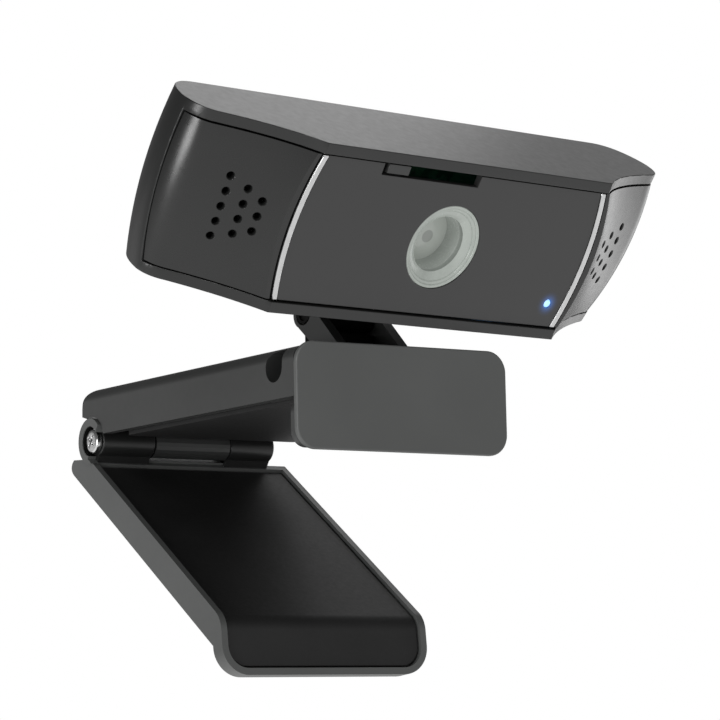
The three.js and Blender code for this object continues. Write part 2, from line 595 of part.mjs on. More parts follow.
function headShell(group) {
  const endPoints = (z) => {
    const curves = headCurves(z);
    return [
      ...curves[1].getPoints(4).slice(2),
      ...curves[2].getPoints(2).slice(1),
      ...curves[3].getPoints(5).slice(1),
      new THREE.Vector2(38, HEAD_DEPTH),
    ];
  };
  const bottomPlate = prismZ(headPlan(STRIP / 2), 0, STRIP);
  const topPlate = prismZ(headPlan(HEAD_HEIGHT - STRIP / 2), HEAD_HEIGHT - STRIP, HEAD_HEIGHT);
  const ahead = box(30, 60, -9, PANEL_SEAM + FIT, STRIP, HEAD_HEIGHT - STRIP);
  const endWall = cut(wall(endPoints, 0, HEAD_HEIGHT, 10, (z) => BULGE * arch(z), 1.7), ahead);
  const rearFrame = box(-39, 39, HEAD_DEPTH - 1.8, HEAD_DEPTH, 0.4, HEAD_HEIGHT - 0.4);
  const { half, edge } = BACK_OPENING;
  const rearOpening = box(-half, half, HEAD_DEPTH - 3, HEAD_DEPTH + 1, edge, HEAD_HEIGHT - edge);
  const slotRoof = box(SLOT.left, SLOT.right, -1, 0.0, HEAD_HEIGHT - STRIP - 0.2, HEAD_HEIGHT - STRIP);
  const lugHoles = LUG_SCREWS.x.map((x) => rod("z", -1, STRIP + 1, x, LUG_SCREWS.y, 0.75, 12));
  const body = join(bottomPlate, topPlate, endWall, mirrorX(endWall), rearFrame);
  part(group, "head_shell", cut(body, rearOpening, slotRoof, ...lugHoles), satinBlack);
}

function backCover(group) {
  const half = BACK_OPENING.half - COVER_GAP;
  const edge = BACK_OPENING.edge + COVER_GAP;
  const through = [HEAD_DEPTH - 3, HEAD_DEPTH + 1];
  const cover = box(-half, half, HEAD_DEPTH - 1.7, HEAD_DEPTH - FIT, edge, HEAD_HEIGHT - edge);
  const glandHole = rod("y", ...through, 0, GLAND_Z, 2.4);
  const levels = [MIDDLE - COVER_SCREWS.rise, MIDDLE + COVER_SCREWS.rise];
  const corners = [-COVER_SCREWS.x, COVER_SCREWS.x].flatMap((x) => levels.map((z) => [x, z]));
  const screwHoles = corners.map(([x, z]) => rod("y", ...through, x, z, 1.6, 16));
  const vents = Array.from({ length: VENTS.count }, (_, k) => VENTS.from + k * VENTS.pitch).map((x) =>
    box(x, x + VENTS.width, ...through, VENTS.bottom, VENTS.top),
  );
  part(group, "back_cover", cut(cover, glandHole, ...screwHoles, ...vents), satinBlack);
  corners.forEach(([x, z], i) => {
    part(group, "cover_screw_" + (i + 1), screw("y", HEAD_DEPTH - 0.5, x, z, 1.3, 0.7, 0.6, 3.4), steel);
  });
  const gland = join(
    rod("y", HEAD_DEPTH - 2.9, HEAD_DEPTH - 1.9, 0, GLAND_Z, 3.2),
    rod("y", HEAD_DEPTH - 2.2, HEAD_DEPTH + 0.2, 0, GLAND_Z, 2.15),
  );
  part(group, "cable_gland", cut(gland, rod("y", HEAD_DEPTH - 4, HEAD_DEPTH + 2, 0, GLAND_Z, 1.6)), rubber);
}

function grillePanels(group) {
  const lead = new THREE.Vector2(28.6, -1.1);
  const points = (z) => {
    const curves = headCurves(z);
    return [lead, ...curves[0].getPoints(8), ...curves[1].getPoints(4).slice(1)];
  };
  const z0 = STRIP + STRIP_GAP;
  const z1 = HEAD_HEIGHT - STRIP - STRIP_GAP;
  const swell = (z) => -0.35 + (BULGE + 0.25) * arch(z);
  const full = wall(points, z0, z1, 8, swell, PANEL_THICK);
  const inFront = box(0, 60, -9, WINDOW_FRONT + 0.1, -1, HEAD_HEIGHT + 1);
  const inside = prismY(bowedBand(z0 - 1, z1 + 1, null, TRIM_WIDTH + PANEL_GAP), -5, 12);
  const behind = box(0, 60, PANEL_SEAM - FIT, 40, -1, HEAD_HEIGHT + 1);
  const columns = [
    { t: 0.77, holes: 5 },
    { t: 0.59, holes: 4 },
    { t: 0.43, holes: 3 },
  ];
  const holes = columns.flatMap(({ t, holes: count }) => {
    return Array.from({ length: count }, (_, k) => {
      const z = MIDDLE + GRILLE_LIFT + (k - (count - 1) / 2) * GRILLE_PITCH;
      const wing = headCurves(z)[0];
      const p = wing.getPoint(t);
      const d = wing.getTangent(t);
      const g = new THREE.CylinderGeometry(GRILLE_RADIUS, GRILLE_RADIUS, 8, 12);
      g.rotateZ(Math.atan2(-d.y, -d.x));
      return solid(g.translate(p.x, p.y, z));
    });
  });
  const right = cut(full, inFront, inside, behind, ...holes);
  part(group, "grille_panel_right", right, satinBlack);
  part(group, "grille_panel_left", mirrorX(right), satinBlack);
}

function frontFace(group) {
  const z0 = STRIP + STRIP_GAP;
  const z1 = HEAD_HEIGHT - STRIP - STRIP_GAP;
  const y1 = WINDOW_FRONT + WINDOW_THICK;
  const half = prismY(bowedBand(z0, z1, null, -0.1), WINDOW_FRONT, y1);
  const lensHole = rod("y", -1, 4, LENS.x, LENS.z, LENS.radius, 48);
  const slot = box(SLOT.left, SLOT.right, -1, 4, z1 + STRIP_GAP - SLOT.height, z1 + 1);
  const ledHole = rod("y", -1, 4, LED.x, LED.z, LED.radius + 0.1, 16);
  part(group, "front_window", cut(join(half, mirrorX(half)), lensHole, slot, ledHole), windowGrey);

  const trim = prismY(bowedBand(z0, z1, 0, TRIM_WIDTH), WINDOW_FRONT - 0.15, y1);
  part(group, "trim_right", trim, silver);
  part(group, "trim_left", mirrorX(trim), silver);

  // Knob in the slot, its tab behind the window, and the blade that hangs from the tab: one moulding.
  const knobTop = z1 + 0.05;
  const [left, right] = [KNOB.x - KNOB.width / 2, KNOB.x + KNOB.width / 2];
  const { front, thick, half: bladeHalf, bottom, top } = SHUTTER;
  const knob = box(left, right, 0.25, front + 0.2, knobTop - KNOB.height, knobTop);
  const tab = box(left, right, front, front + thick, top - 1, knobTop);
  const blade = box(KNOB.x - bladeHalf, KNOB.x + bladeHalf, front, front + thick, bottom, top);
  part(group, "privacy_shutter", join(knob, tab, blade), windowGrey);
}

function optics(group) {
  const { x, z } = LENS;
  const face = WINDOW_FRONT + FIT;
  const rings = cut(
    rod("y", face, face + 1.2, x, z, LENS.radius - 0.08, 48),
    rod("y", -1, face + 0.2, x, z, 6.45, 48),
    rod("y", -1, face + 0.4, x, z, 6.05, 48),
    rod("y", face + 0.3, face + 1.3, x, z, 6.0, 48, 4.6),
  );
  part(group, "lens_ring", rings, lensGrey);
  part(group, "lens_hood", ring("y", HOOD.front, HOOD.back, x, z, HOOD.outer, HOOD.bore, 48), lensGrey);
  const outline = [new THREE.Vector2(0, DOME.back), new THREE.Vector2(DOME.half, DOME.back)];
  const sweep = Math.asin(DOME.half / DOME.radius);
  for (let k = 8; k >= 0; k--) {
    const a = (k / 8) * sweep;
    outline.push(new THREE.Vector2(DOME.radius * Math.sin(a), DOME.apex + DOME.radius * (1 - Math.cos(a))));
  }
  const lens = new THREE.LatheGeometry(outline.reverse(), 40).translate(x, 0, z);
  part(group, "front_lens", solid(lens), glass);
  const barrel = ring("y", 9.1, 12.4, x, z, 4.0, 2.6, 32);
  part(group, "lens_barrel", barrel, matteBlack);
  part(group, "rear_lens", rod("y", 10.2, 11.2, x, z, 2.4, 24), glass);
  const holder = cut(
    box(x - 5.5, x + 5.5, 9.6, 13.6, z - 5.5, z + 5.5),
    rod("y", 9, 12.6, x, z, 4.2, 32),
    box(x - 3.6, x + 3.6, 12.5, 14, z - 3.6, z + 3.6),
  );
  part(group, "lens_holder", holder, matteBlack);
  part(group, "image_sensor", box(x - 3.2, x + 3.2, 12.7, 13.6, z - 3.2, z + 3.2), matteBlack);
}

function electronics(group) {
  const { half, front, back, edge } = BOARD;
  part(group, "main_board", box(-half, half, front, back, edge, HEAD_HEIGHT - edge), circuit);
  part(group, "image_processor", box(10, 18, back + FIT, 16.0, 9.5, 17.5), matteBlack);
  part(group, "cable_connector", box(-4, 4, back + FIT, 16.4, 5.8, 10.6), lensGrey);
  part(group, "light_pipe", rod("y", WINDOW_FRONT + 0.05, 12.2, LED.x, LED.z, LED.radius, 16), blueLight);
  part(group, "led_chip", box(LED.x - 0.8, LED.x + 0.8, 12.4, 13.5, LED.z - 0.8, LED.z + 0.8), blueLight);
  [-1, 1].forEach((side, i) => {
    const name = ["left", "right"][i];
    const x = side * MICROPHONE_X;
    part(group, "microphone_" + name, rod("y", 10.9, 13.5, x, MIDDLE, 2.0, 20), steel);
    part(group, "microphone_boot_" + name, ring("y", 8.6, 13.4, x, MIDDLE, 3.0, 2.2, 20), rubber);
  });
}

// The lug that hangs from the head's floor and turns on the tilt screw.
function headLug(group) {
  const shape = new THREE.Shape();
  shape.moveTo(LUG_Y + LUG_RADIUS + 0.3, -FIT);
  shape.lineTo(LUG_Y - 6.5, -FIT);
  shape.lineTo(LUG_Y - 6.5, -1.2);
  shape.lineTo(LUG_Y - LUG_RADIUS, LUG_Z + 1.6);
  shape.lineTo(LUG_Y - LUG_RADIUS, LUG_Z);
  shape.absarc(LUG_Y, LUG_Z, LUG_RADIUS, Math.PI, 2 * Math.PI, false);
  shape.lineTo(LUG_Y + LUG_RADIUS, LUG_Z + 1.6);
  const hole = rod("x", -20, 20, LUG_Y, LUG_Z, AXLE_RADIUS + 0.15, 16);
  const { x: xs, y } = LUG_SCREWS;
  const screwHoles = xs.map((x) => rod("z", -3.2, 1, x, y, 0.7, 12));
  part(group, "tilt_lug", cut(prismX(shape, -LUG_HALF, LUG_HALF, 12), hole, ...screwHoles), matteBlack);
  xs.forEach((x, i) => {
    const head = rod("z", STRIP + 0.1, STRIP + 0.8, x, y, 1.2, 16);
    const body = join(head, rod("z", -2.4, STRIP + 0.2, x, y, 0.55, 12));
    part(group, "lug_screw_" + ["left", "right"][i], body, steel);
  });
}

// ---- assembly -----------------------------------------------------------------------------------------
upperArm(parts);
frontPlate(parts);

const lower = new THREE.Group();
lower.position.set(0, HINGE_Y, HINGE_Z);
lower.rotation.x = rad(FOLD_OPEN);
lowerArm(lower);
hingeWashers(lower);
parts.add(lower);

const turned = new THREE.Group();
turned.position.set(PAN_X, PAN_Y, TILT_Z);
turned.rotation.z = rad(PAN_REST);
neck(turned);
parts.add(turned);

const tilted = new THREE.Group();
tilted.rotation.x = rad(TILT_REST);
turned.add(tilted);
const head = new THREE.Group();
head.position.set(0, -LUG_Y, -LUG_Z);
headShell(head);
backCover(head);
grillePanels(head);
frontFace(head);
optics(head);
electronics(head);
headLug(head);
tilted.add(head);

export default parts;
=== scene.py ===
"""Looks of the folding-clip webcam: fine surfaces, materials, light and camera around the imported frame.

Every shape is drawn in millimetres in the frame of the body that it rides on, and placed by a matrix
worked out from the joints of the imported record.
"""

import json
import math

import bmesh
import bpy
from mathutils import Matrix, Vector

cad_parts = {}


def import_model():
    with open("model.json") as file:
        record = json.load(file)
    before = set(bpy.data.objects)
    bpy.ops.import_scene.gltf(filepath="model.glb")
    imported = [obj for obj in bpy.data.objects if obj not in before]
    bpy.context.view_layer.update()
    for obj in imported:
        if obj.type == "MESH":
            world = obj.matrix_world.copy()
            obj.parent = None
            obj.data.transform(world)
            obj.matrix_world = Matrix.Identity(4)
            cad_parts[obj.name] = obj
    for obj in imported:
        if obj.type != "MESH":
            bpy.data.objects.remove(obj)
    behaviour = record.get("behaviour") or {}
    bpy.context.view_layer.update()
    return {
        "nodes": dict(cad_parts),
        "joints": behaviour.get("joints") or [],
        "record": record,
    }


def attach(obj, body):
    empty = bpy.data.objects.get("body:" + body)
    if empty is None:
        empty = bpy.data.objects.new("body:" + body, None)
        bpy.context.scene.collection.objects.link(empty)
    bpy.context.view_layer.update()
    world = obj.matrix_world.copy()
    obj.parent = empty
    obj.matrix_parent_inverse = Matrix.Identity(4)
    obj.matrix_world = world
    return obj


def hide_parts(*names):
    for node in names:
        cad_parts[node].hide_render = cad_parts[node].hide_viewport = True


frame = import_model()
JOINTS = {j["name"]: j for j in frame["joints"]}
MM = 0.001

# ---- driving dimensions, the same as the CAD model's --------------------------------------------------
ARM_HALF, ARM_FRONT, ARM_REAR, ARM_TOP, ARM_BOTTOM = 19.3, -31.9, 34.7, 8.4, 0.55
ARM_WALL, ARM_EDGE_R, ARM_PAN_HOLE_R = 1.7, 2.2, 2.4
SIDE_HOLE_Y, SIDE_HOLE_Z, SIDE_HOLE_R, SIDE_HOLE_TIP, SIDE_HOLE_DEPTH = -26.3, 5.5, 2.35, 2.6, 6.0
PLATE_HALF, PLATE_TOP, PLATE_BOTTOM, PLATE_CORNER = 19.45, 9.0, -7.5, 3.4
PLATE_FRONT, PLATE_THICK, BACK_PLATE_REAR = -33.0, 1.0, -30.4
HINGE_LEFT, HINGE_RIGHT, BARREL_R, EAR_R, EAR_WIDTH, PIN_R = -19.7, 15.0, 2.45, 3.8, 1.5, 1.1
EAR_BORE_R, EAR_BORE_DEEP, SCREW_SUNK, SCREW_R, SCREW_THICK = 2.5, 1.5, 0.2, 2.0, 1.1
EAR_OPEN, PIN_HOLE_R, NUT_BORE_R, NUT_SEAT = -1.0, 1.25, 1.9, 1.2
FOOT_FRONT, FOOT_REAR, FOOT_TOP, FOOT_DEEP = -1.8, 2.0, -1.0, 2.4
WEB_FRONT, WEB_REAR, WEB_TOP = -1.2, 2.4, -2.2
KNUCKLE_FROM, KNUCKLE_TO = -8.1, 6.2
TRAY_HALF, TRAY_TOP, TRAY_BOTTOM = 19.2, -3.0, -7.9
REAR_LOW, REAR_CORNER, REAR_EDGE, REAR_HIGH = 2.2, (4.0, -6.5), (3.8, -5.75), -0.8
TRAY_WALL, TRAY_RIM, TRAY_DEEP, TIP_CORNER, RECESS_REAR = 1.1, 0.5, 1.8, 4.6, -2.1
BEND_AT, BEND_ANGLE, BEND_R, BEND_LENGTH, BEND_THICK = 49.4, math.radians(50), 4.0, 7.1, 2.8
SKID_THICK, SKID_END, INSERT_AT = 0.4, 46.3, 26.0
DISC_R, DISC_THICK, CHEEK_INNER, CHEEK_OUTER, CHEEK_EYE = 8.2, 1.4, 5.6, 7.6, 2.3
LUG_R, LUG_HALF, AXLE_R, LUG_Y, LUG_Z = 2.4, 5.3, 0.9, 16.7, -6.6
HEAD_H, HEAD_D, FRONT_HALF, STRIP, STRIP_GAP, MIDDLE = 27.5, 19.6, 29.6, 1.75, 0.25, 13.75
WINDOW_FRONT, WINDOW_THICK, WINDOW_HALF, BOW, TRIM_WIDTH = 0.45, 1.2, 28.35, 1.6, 0.95
TAPER, BULGE, PANEL_THICK, PANEL_SEAM, PANEL_GAP = 1.1, 1.5, 1.5, 11.2, 0.35
LENS_X, LENS_Z, LENS_R = 0.1, 13.3, 6.96
HOOD_FRONT, HOOD_BACK, HOOD_R, HOOD_BORE = 2.5, 7.2, 7.9, 4.45
DOME_APEX, DOME_R, DOME_HALF, DOME_BACK = 4.6, 10.5, 4.35, 6.9
SLOT_LEFT, SLOT_RIGHT, SLOT_H = -17.3, 2.45, 2.1
KNOB_X, KNOB_W, KNOB_H = -14.4, 4.3, 1.5
SHUTTER_FRONT, SHUTTER_THICK, SHUTTER_HALF, SHUTTER_BOTTOM, SHUTTER_TOP = 1.95, 0.4, 7.6, 6.3, 23.4
LED_X, LED_Z, LED_R = 26.2, 5.9, 0.7
GRILLE_PITCH, GRILLE_R, GRILLE_LIFT = 2.44, 0.54, 0.1
COVER_SCREW_X, COVER_SCREW_Z, GLAND_Z = 32.5, 8.2, 8.2
GRILLE_COLUMNS = ((0.77, 5), (0.59, 4), (0.43, 3))
FIT, CLEAR, FAR_BELOW = 0.1, 0.3, -30.0
TILT_REST, FOLD_REST = math.radians(32.5), math.radians(34.2)


def joint_point(name):
    return Matrix.Translation(Vector(JOINTS[name]["pos_m"]) / MM)


PAN_REST = math.atan2(JOINTS["head_tilt"]["axis"][1], JOINTS["head_tilt"]["axis"][0])
ARM = Matrix.Identity(4)
NECK = joint_point("head_tilt") @ Matrix.Rotation(PAN_REST, 4, "Z")
HEAD = NECK @ Matrix.Rotation(TILT_REST, 4, "X") @ Matrix.Translation((0, -LUG_Y, -LUG_Z))
LOWER = joint_point("clip_fold") @ Matrix.Rotation(FOLD_REST, 4, "X")


# ---- outlines -----------------------------------------------------------------------------------------
def arc(cx, cy, rx, ry, start, end, steps):
    angles = [math.radians(start + (end - start) * k / steps) for k in range(steps + 1)]
    return [(cx + rx * math.cos(a), cy + ry * math.sin(a)) for a in angles]


def bezier(p0, p1, p2, steps):
    out = []
    for k in range(steps + 1):
        t = k / steps
        a, b, c = (1 - t) ** 2, 2 * t * (1 - t), t * t
        out.append((a * p0[0] + b * p1[0] + c * p2[0], a * p0[1] + b * p1[1] + c * p2[1]))
    return out


def rounded(x0, x1, y0, y1, r, steps=10):
    pts = arc(x1 - r, y0 + r, r, r, -90, 0, steps) + arc(x1 - r, y1 - r, r, r, 0, 90, steps)
    return pts + arc(x0 + r, y1 - r, r, r, 90, 180, steps) + arc(x0 + r, y0 + r, r, r, 180, 270, steps)


def distinct(points, least=1e-4):
    out = []
    for p in points:
        if not out or math.dist(p, out[-1]) > least:
            out.append(p)
    if math.dist(out[0], out[-1]) <= least:
        out.pop()
    return out


def turned_area(points):
    return sum(a[0] * b[1] - b[0] * a[1] for a, b in zip(points, points[1:] + points[:1]))


# ---- solids -------------------------------------------------------------------------------------------
def prism(outline, lo, hi, axis="z"):
    """A closed prism. The outline lies in XY for axis z, in YZ for axis x and in XZ for axis y."""
    pts = distinct(outline)
    if turned_area(pts) < 0:
        pts.reverse()
    at = {
        "z": lambda u, v, w: (u, v, w),
        "x": lambda u, v, w: (w, u, v),
        "y": lambda u, v, w: (u, w, v),
    }[axis]
    bm = bmesh.new()
    low = [bm.verts.new(at(u, v, lo)) for u, v in pts]
    high = [bm.verts.new(at(u, v, hi)) for u, v in pts]
    bm.faces.new(list(reversed(low)))
    bm.faces.new(high)
    for i, a in enumerate(low):
        j = (i + 1) % len(low)
        bm.faces.new((a, low[j], high[j], high[i]))
    bmesh.ops.recalc_face_normals(bm, faces=bm.faces)
    return bm


def block(x0, x1, y0, y1, z0, z1):
    return prism([(x0, y0), (x1, y0), (x1, y1), (x0, y1)], z0, z1)


def lathe(profile, axis="z", centre=(0, 0, 0), steps=64):
    """A solid of revolution. profile holds (radius, height) from one end of the axis to the other."""
    turn = {
        "z": Matrix.Identity(4),
        "x": Matrix.Rotation(math.pi / 2, 4, "Y"),
        "y": Matrix.Rotation(-math.pi / 2, 4, "X"),
    }[axis]
    bm = bmesh.new()
    closed = profile[0][0] > 0
    rings = []
    for r, h in profile:
        if r <= 1e-6:
            rings.append([bm.verts.new((0, 0, h))])
            continue
        angles = [2 * math.pi * k / steps for k in range(steps)]
        rings.append([bm.verts.new((r * math.cos(a), r * math.sin(a), h)) for a in angles])
    pairs = list(zip(rings, rings[1:]))
    if closed:
        pairs.append((rings[-1], rings[0]))
    for a, b in pairs:
        for k in range(steps):
            j = (k + 1) % steps
            quad = [a[k % len(a)], a[j % len(a)], b[j % len(b)], b[k % len(b)]]
            unique = list(dict.fromkeys(quad))
            if len(unique) > 2:
                bm.faces.new(unique)
    bmesh.ops.recalc_face_normals(bm, faces=bm.faces)
    bmesh.ops.transform(bm, matrix=Matrix.Translation(centre) @ turn, verts=bm.verts)
    return bm


def rod(axis, lo, hi, centre, radius, steps=48):
    return lathe([(0, lo), (radius, lo), (radius, hi), (0, hi)], axis, centre, steps)


def grid_solid(outer, inner):
    """A closed wall between two equal grids of points, each a list of rows."""
    bm = bmesh.new()
    rows, cols = len(outer), len(outer[0])
    a = [[bm.verts.new(p) for p in row] for row in outer]
    b = [[bm.verts.new(p) for p in row] for row in inner]
    for k in range(rows - 1):
        for i in range(cols - 1):
            bm.faces.new((a[k][i], a[k][i + 1], a[k + 1][i + 1], a[k + 1][i]))
            bm.faces.new((b[k][i], b[k + 1][i], b[k + 1][i + 1], b[k][i + 1]))
        bm.faces.new((a[k][0], a[k + 1][0], b[k + 1][0], b[k][0]))
        bm.faces.new((a[k][-1], b[k][-1], b[k + 1][-1], a[k + 1][-1]))
    for i in range(cols - 1):
        bm.faces.new((a[0][i], b[0][i], b[0][i + 1], a[0][i + 1]))
        bm.faces.new((a[-1][i], a[-1][i + 1], b[-1][i + 1], b[-1][i]))
    bmesh.ops.recalc_face_normals(bm, faces=bm.faces)
    return bm


def mirrored(bm):
    bmesh.ops.scale(bm, vec=(-1, 1, 1), verts=bm.verts)
    bmesh.ops.reverse_faces(bm, faces=bm.faces)
    return bm


# ---- pieces -------------------------------------------------------------------------------------------
def as_object(name, bm):
    mesh = bpy.data.meshes.new(name)
    bm.to_mesh(mesh)
    bm.free()
    obj = bpy.data.objects.new(name, mesh)
    bpy.context.scene.collection.objects.link(obj)
    return obj


def apply_modifiers(obj):
    bpy.context.view_layer.update()
    graph = bpy.context.evaluated_depsgraph_get()
    mesh = bpy.data.meshes.new_from_object(obj.evaluated_get(graph))
    obj.modifiers.clear()
    old = obj.data
    obj.data = mesh
    bpy.data.meshes.remove(old)


def combine(obj, tools, operation):
    for i, tool in enumerate(tools):
        other = as_object(f"{obj.name}.tool{i}", tool)
        mod = obj.modifiers.new("cut", "BOOLEAN")
        mod.operation, mod.solver, mod.object = operation, "EXACT", other
        apply_modifiers(obj)
        bpy.data.objects.remove(other)


def finish_piece(obj, material, body, replaced, edge, steps, sharp):
    """Rounds the sharp edges, shades the piece, scales it to metres and ties it to its body."""
    if edge:
        mod = obj.modifiers.new("edge", "BEVEL")
        mod.width, mod.segments, mod.limit_method = edge, steps, "ANGLE"
        mod.angle_limit, mod.harden_normals = math.radians(32), True
        mod.use_clamp_overlap = True
        mod.miter_outer = "MITER_ARC"
        apply_modifiers(obj)
    mesh = obj.data
    mesh.transform(Matrix.Scale(MM, 4))
    mesh.polygons.foreach_set("use_smooth", [True] * len(mesh.polygons))
    mesh.set_sharp_from_angle(angle=math.radians(sharp))
    mod = obj.modifiers.new("shade", "WEIGHTED_NORMAL")
    mod.keep_sharp = True
    mesh.materials.clear()
    mesh.materials.append(material)
    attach(obj, body)
    if replaced:
        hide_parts(*replaced)
    return obj


def piece(
    name, bm, place, body, material, replaced=(), add=(), both=(), cut=(), edge=0.0, steps=3, sharp=32
):
    """One finished piece: the solid with others joined, kept in common or cut away, moved to its place."""
    obj = as_object(name, bm)
    combine(obj, both, "INTERSECT")
    combine(obj, add, "UNION")
    combine(obj, cut, "DIFFERENCE")
    obj.data.transform(place)
    return finish_piece(obj, material, body, replaced, edge, steps, sharp)


# ---- materials ----------------------------------------------------------------------------------------
class Graph:
    """A small helper that adds and links the nodes of one material."""

    def __init__(self, name):
        self.material = bpy.data.materials.new(name)
        self.material.use_nodes = True
        self.tree = self.material.node_tree
        self.shader = self.tree.nodes["Principled BSDF"]
        self.place = self.add("ShaderNodeTexCoord").outputs["Object"]

    def add(self, kind, **values):
        node = self.tree.nodes.new(kind)
        for key, value in values.items():
            if hasattr(node, key):
                setattr(node, key, value)
            else:
                node.inputs[key.replace("_", " ")].default_value = value
        return node

    def link(self, source, target):
        self.tree.links.new(source, target)

    def set(self, **values):
        for key, value in values.items():
            self.shader.inputs[key.replace("_", " ")].default_value = value

    def noise(self, scale, detail=2.0, roughness=0.5, stretch=None):
        source = self.place
        if stretch:
            mapping = self.add("ShaderNodeMapping")
            mapping.inputs["Scale"].default_value = stretch
            self.link(source, mapping.inputs["Vector"])
            source = mapping.outputs["Vector"]
        node = self.add("ShaderNodeTexNoise", Scale=scale, Detail=detail, Roughness=roughness)
        self.link(source, node.inputs["Vector"])
        return node.outputs["Fac"]

    def ranged(self, source, low, high, start=0.3, end=0.7):
        node = self.add("ShaderNodeMapRange")
        node.inputs["From Min"].default_value = start
        node.inputs["From Max"].default_value = end
        node.inputs["To Min"].default_value = low
        node.inputs["To Max"].default_value = high
        self.link(source, node.inputs["Value"])
        return node.outputs["Result"]

    def blend(self, factor, first, second):
        node = self.add("ShaderNodeMix", data_type="RGBA")
        self.link(factor, node.inputs["Factor"])
        for socket, value in ((node.inputs[6], first), (node.inputs[7], second)):
            if isinstance(value, tuple):
                socket.default_value = value
            else:
                self.link(value, socket)
        return node.outputs[2]

    def bump(self, heights, strength=1.0):
        """Chains (height, distance in metres) pairs into the shader's normal."""
        normal = None
        for height, distance in heights:
            node = self.add("ShaderNodeBump", Strength=strength, Distance=distance)
            self.link(height, node.inputs["Height"])
            if normal is not None:
                self.link(normal, node.inputs["Normal"])
            normal = node.outputs["Normal"]
        self.link(normal, self.shader.inputs["Normal"])


def grey(value, tint=(1.0, 1.0, 1.0)):
    """A linear colour for a display grey from 0 to 255."""
    linear = [((value * t / 255 + 0.055) / 1.055) ** 2.4 for t in tint]
    return (*linear, 1.0)


COOL = (0.985, 1.0, 0.99)


def plastic(name, dark, light, rough, grain, mottle=60.0, tint=COOL, specular=0.5):
    """Moulded plastic: spark-eroded grain, faint cloudiness in colour and gloss."""
    g = Graph(name)
    cloud = g.noise(mottle, 3.0)
    fine = g.noise(2600.0, 2.0, 0.6)
    shade = g.blend(g.ranged(cloud, 0.0, 1.0), grey(dark, tint), grey(light, tint))
    g.link(shade, g.shader.inputs["Base Color"])
    g.link(g.ranged(g.noise(900.0, 2.0), rough - 0.02, rough + 0.02), g.shader.inputs["Roughness"])
    g.bump([(fine, grain), (g.noise(700.0, 1.0), grain * 0.4)])
    g.set(Specular_IOR_Level=specular)
    return g.material


def rubber(name, value):
    g = Graph(name)
    shade = g.blend(g.ranged(g.noise(150.0, 4.0), 0.0, 1.0), grey(value - 3), grey(value + 4))
    g.link(shade, g.shader.inputs["Base Color"])
    g.link(g.ranged(g.noise(1500.0, 3.0), 0.5, 0.56), g.shader.inputs["Roughness"])
    g.bump([(g.noise(3200.0, 3.0, 0.7), 0.000005), (g.noise(500.0, 2.0), 0.000002)])
    g.set(Specular_IOR_Level=0.5)
    return g.material


def metal(name, value, rough, stretch, tint=(1.0, 1.0, 1.0)):
    g = Graph(name)
    lines = g.noise(900.0, 3.0, 0.6, stretch)
    shade = g.blend(g.ranged(lines, 0.0, 1.0), grey(value - 8, tint), grey(value + 6, tint))
    g.link(shade, g.shader.inputs["Base Color"])
    g.link(g.ranged(lines, rough - 0.05, rough + 0.08), g.shader.inputs["Roughness"])
    g.bump([(lines, 0.000004)])
    g.set(Metallic=1.0)
    return g.material


def window_acrylic():
    """Grey acrylic with an even sheen, and the light's blue glow spread in it around the pinhole."""
    g = Graph("window_acrylic")
    shade = g.blend(g.ranged(g.noise(40.0, 2.0), 0.0, 1.0), grey(44), grey(46))
    g.link(shade, g.shader.inputs["Base Color"])
    g.link(g.ranged(g.noise(300.0, 3.0), 0.30, 0.36), g.shader.inputs["Roughness"])
    g.bump([(g.noise(220.0, 2.0), 0.000004)])
    centre = HEAD @ Vector((LED_X, WINDOW_FRONT, LED_Z)) * MM
    offset = g.add("ShaderNodeVectorMath", operation="DISTANCE")
    offset.inputs[1].default_value = centre
    g.link(g.place, offset.inputs[0])
    halo = g.ranged(offset.outputs["Value"], 1.0, 0.0, LED_R * MM, 2.6 * MM)
    soft = g.add("ShaderNodeMath", operation="POWER")
    soft.inputs[1].default_value = 3.0
    g.link(halo, soft.inputs[0])
    strength = g.ranged(soft.outputs[0], 0.0, 0.3, 0.0, 1.0)
    g.link(strength, g.shader.inputs["Emission Strength"])
    g.set(Emission_Color=(0.08, 0.3, 1.0, 1.0))
    return g.material


def lens_plastic(name, value, painted_glow):
    """The pale grey-green of the lens surround, with fine turning marks and an even painted glow: it emits
    its own colour, painted light that lifts its shade.
    """
    g = Graph(name)
    tint = (0.965, 1.0, 0.965)
    shade = g.blend(g.ranged(g.noise(400.0, 3.0), 0.0, 1.0), grey(value - 4, tint), grey(value + 4, tint))
    g.link(shade, g.shader.inputs["Base Color"])
    # painted light: the surround glows faintly in its own colour, though it is no lamp
    g.link(shade, g.shader.inputs["Emission Color"])
    g.link(g.ranged(g.noise(1200.0, 2.0), 0.2, 0.3), g.shader.inputs["Roughness"])
    g.bump([(g.noise(1800.0, 2.0), 0.0000015)])
    g.set(Emission_Strength=painted_glow)
    return g.material


def lens_glass(name, value, painted_glow, pupil):
    """The coated front lens, glowing faintly as painted light; the darker pupil is painted shade, a round
    patch at the middle of its face for the dark interior seen through the lens.
    """
    g = Graph(name)
    tint = (0.97, 1.0, 0.965)
    centre = HEAD @ Vector((LENS_X, DOME_APEX, LENS_Z)) * MM
    offset = g.add("ShaderNodeVectorMath", operation="DISTANCE")
    offset.inputs[1].default_value = centre
    g.link(g.place, offset.inputs[0])
    # painted shade: the pupil patch darkens the middle of the lens
    shade_patch = g.ranged(offset.outputs["Value"], 1.0, 0.0, 0.98 * MM, 1.12 * MM)
    shade = g.blend(shade_patch, grey(value, tint), grey(pupil, tint))
    g.link(shade, g.shader.inputs["Base Color"])
    # painted light: the lens glows faintly in its own colour
    g.link(shade, g.shader.inputs["Emission Color"])
    g.link(g.ranged(g.noise(800.0, 2.0), 0.2, 0.26), g.shader.inputs["Roughness"])
    g.set(Coat_Weight=0.4, Coat_Roughness=0.2, IOR=1.5, Emission_Strength=painted_glow)
    return g.material


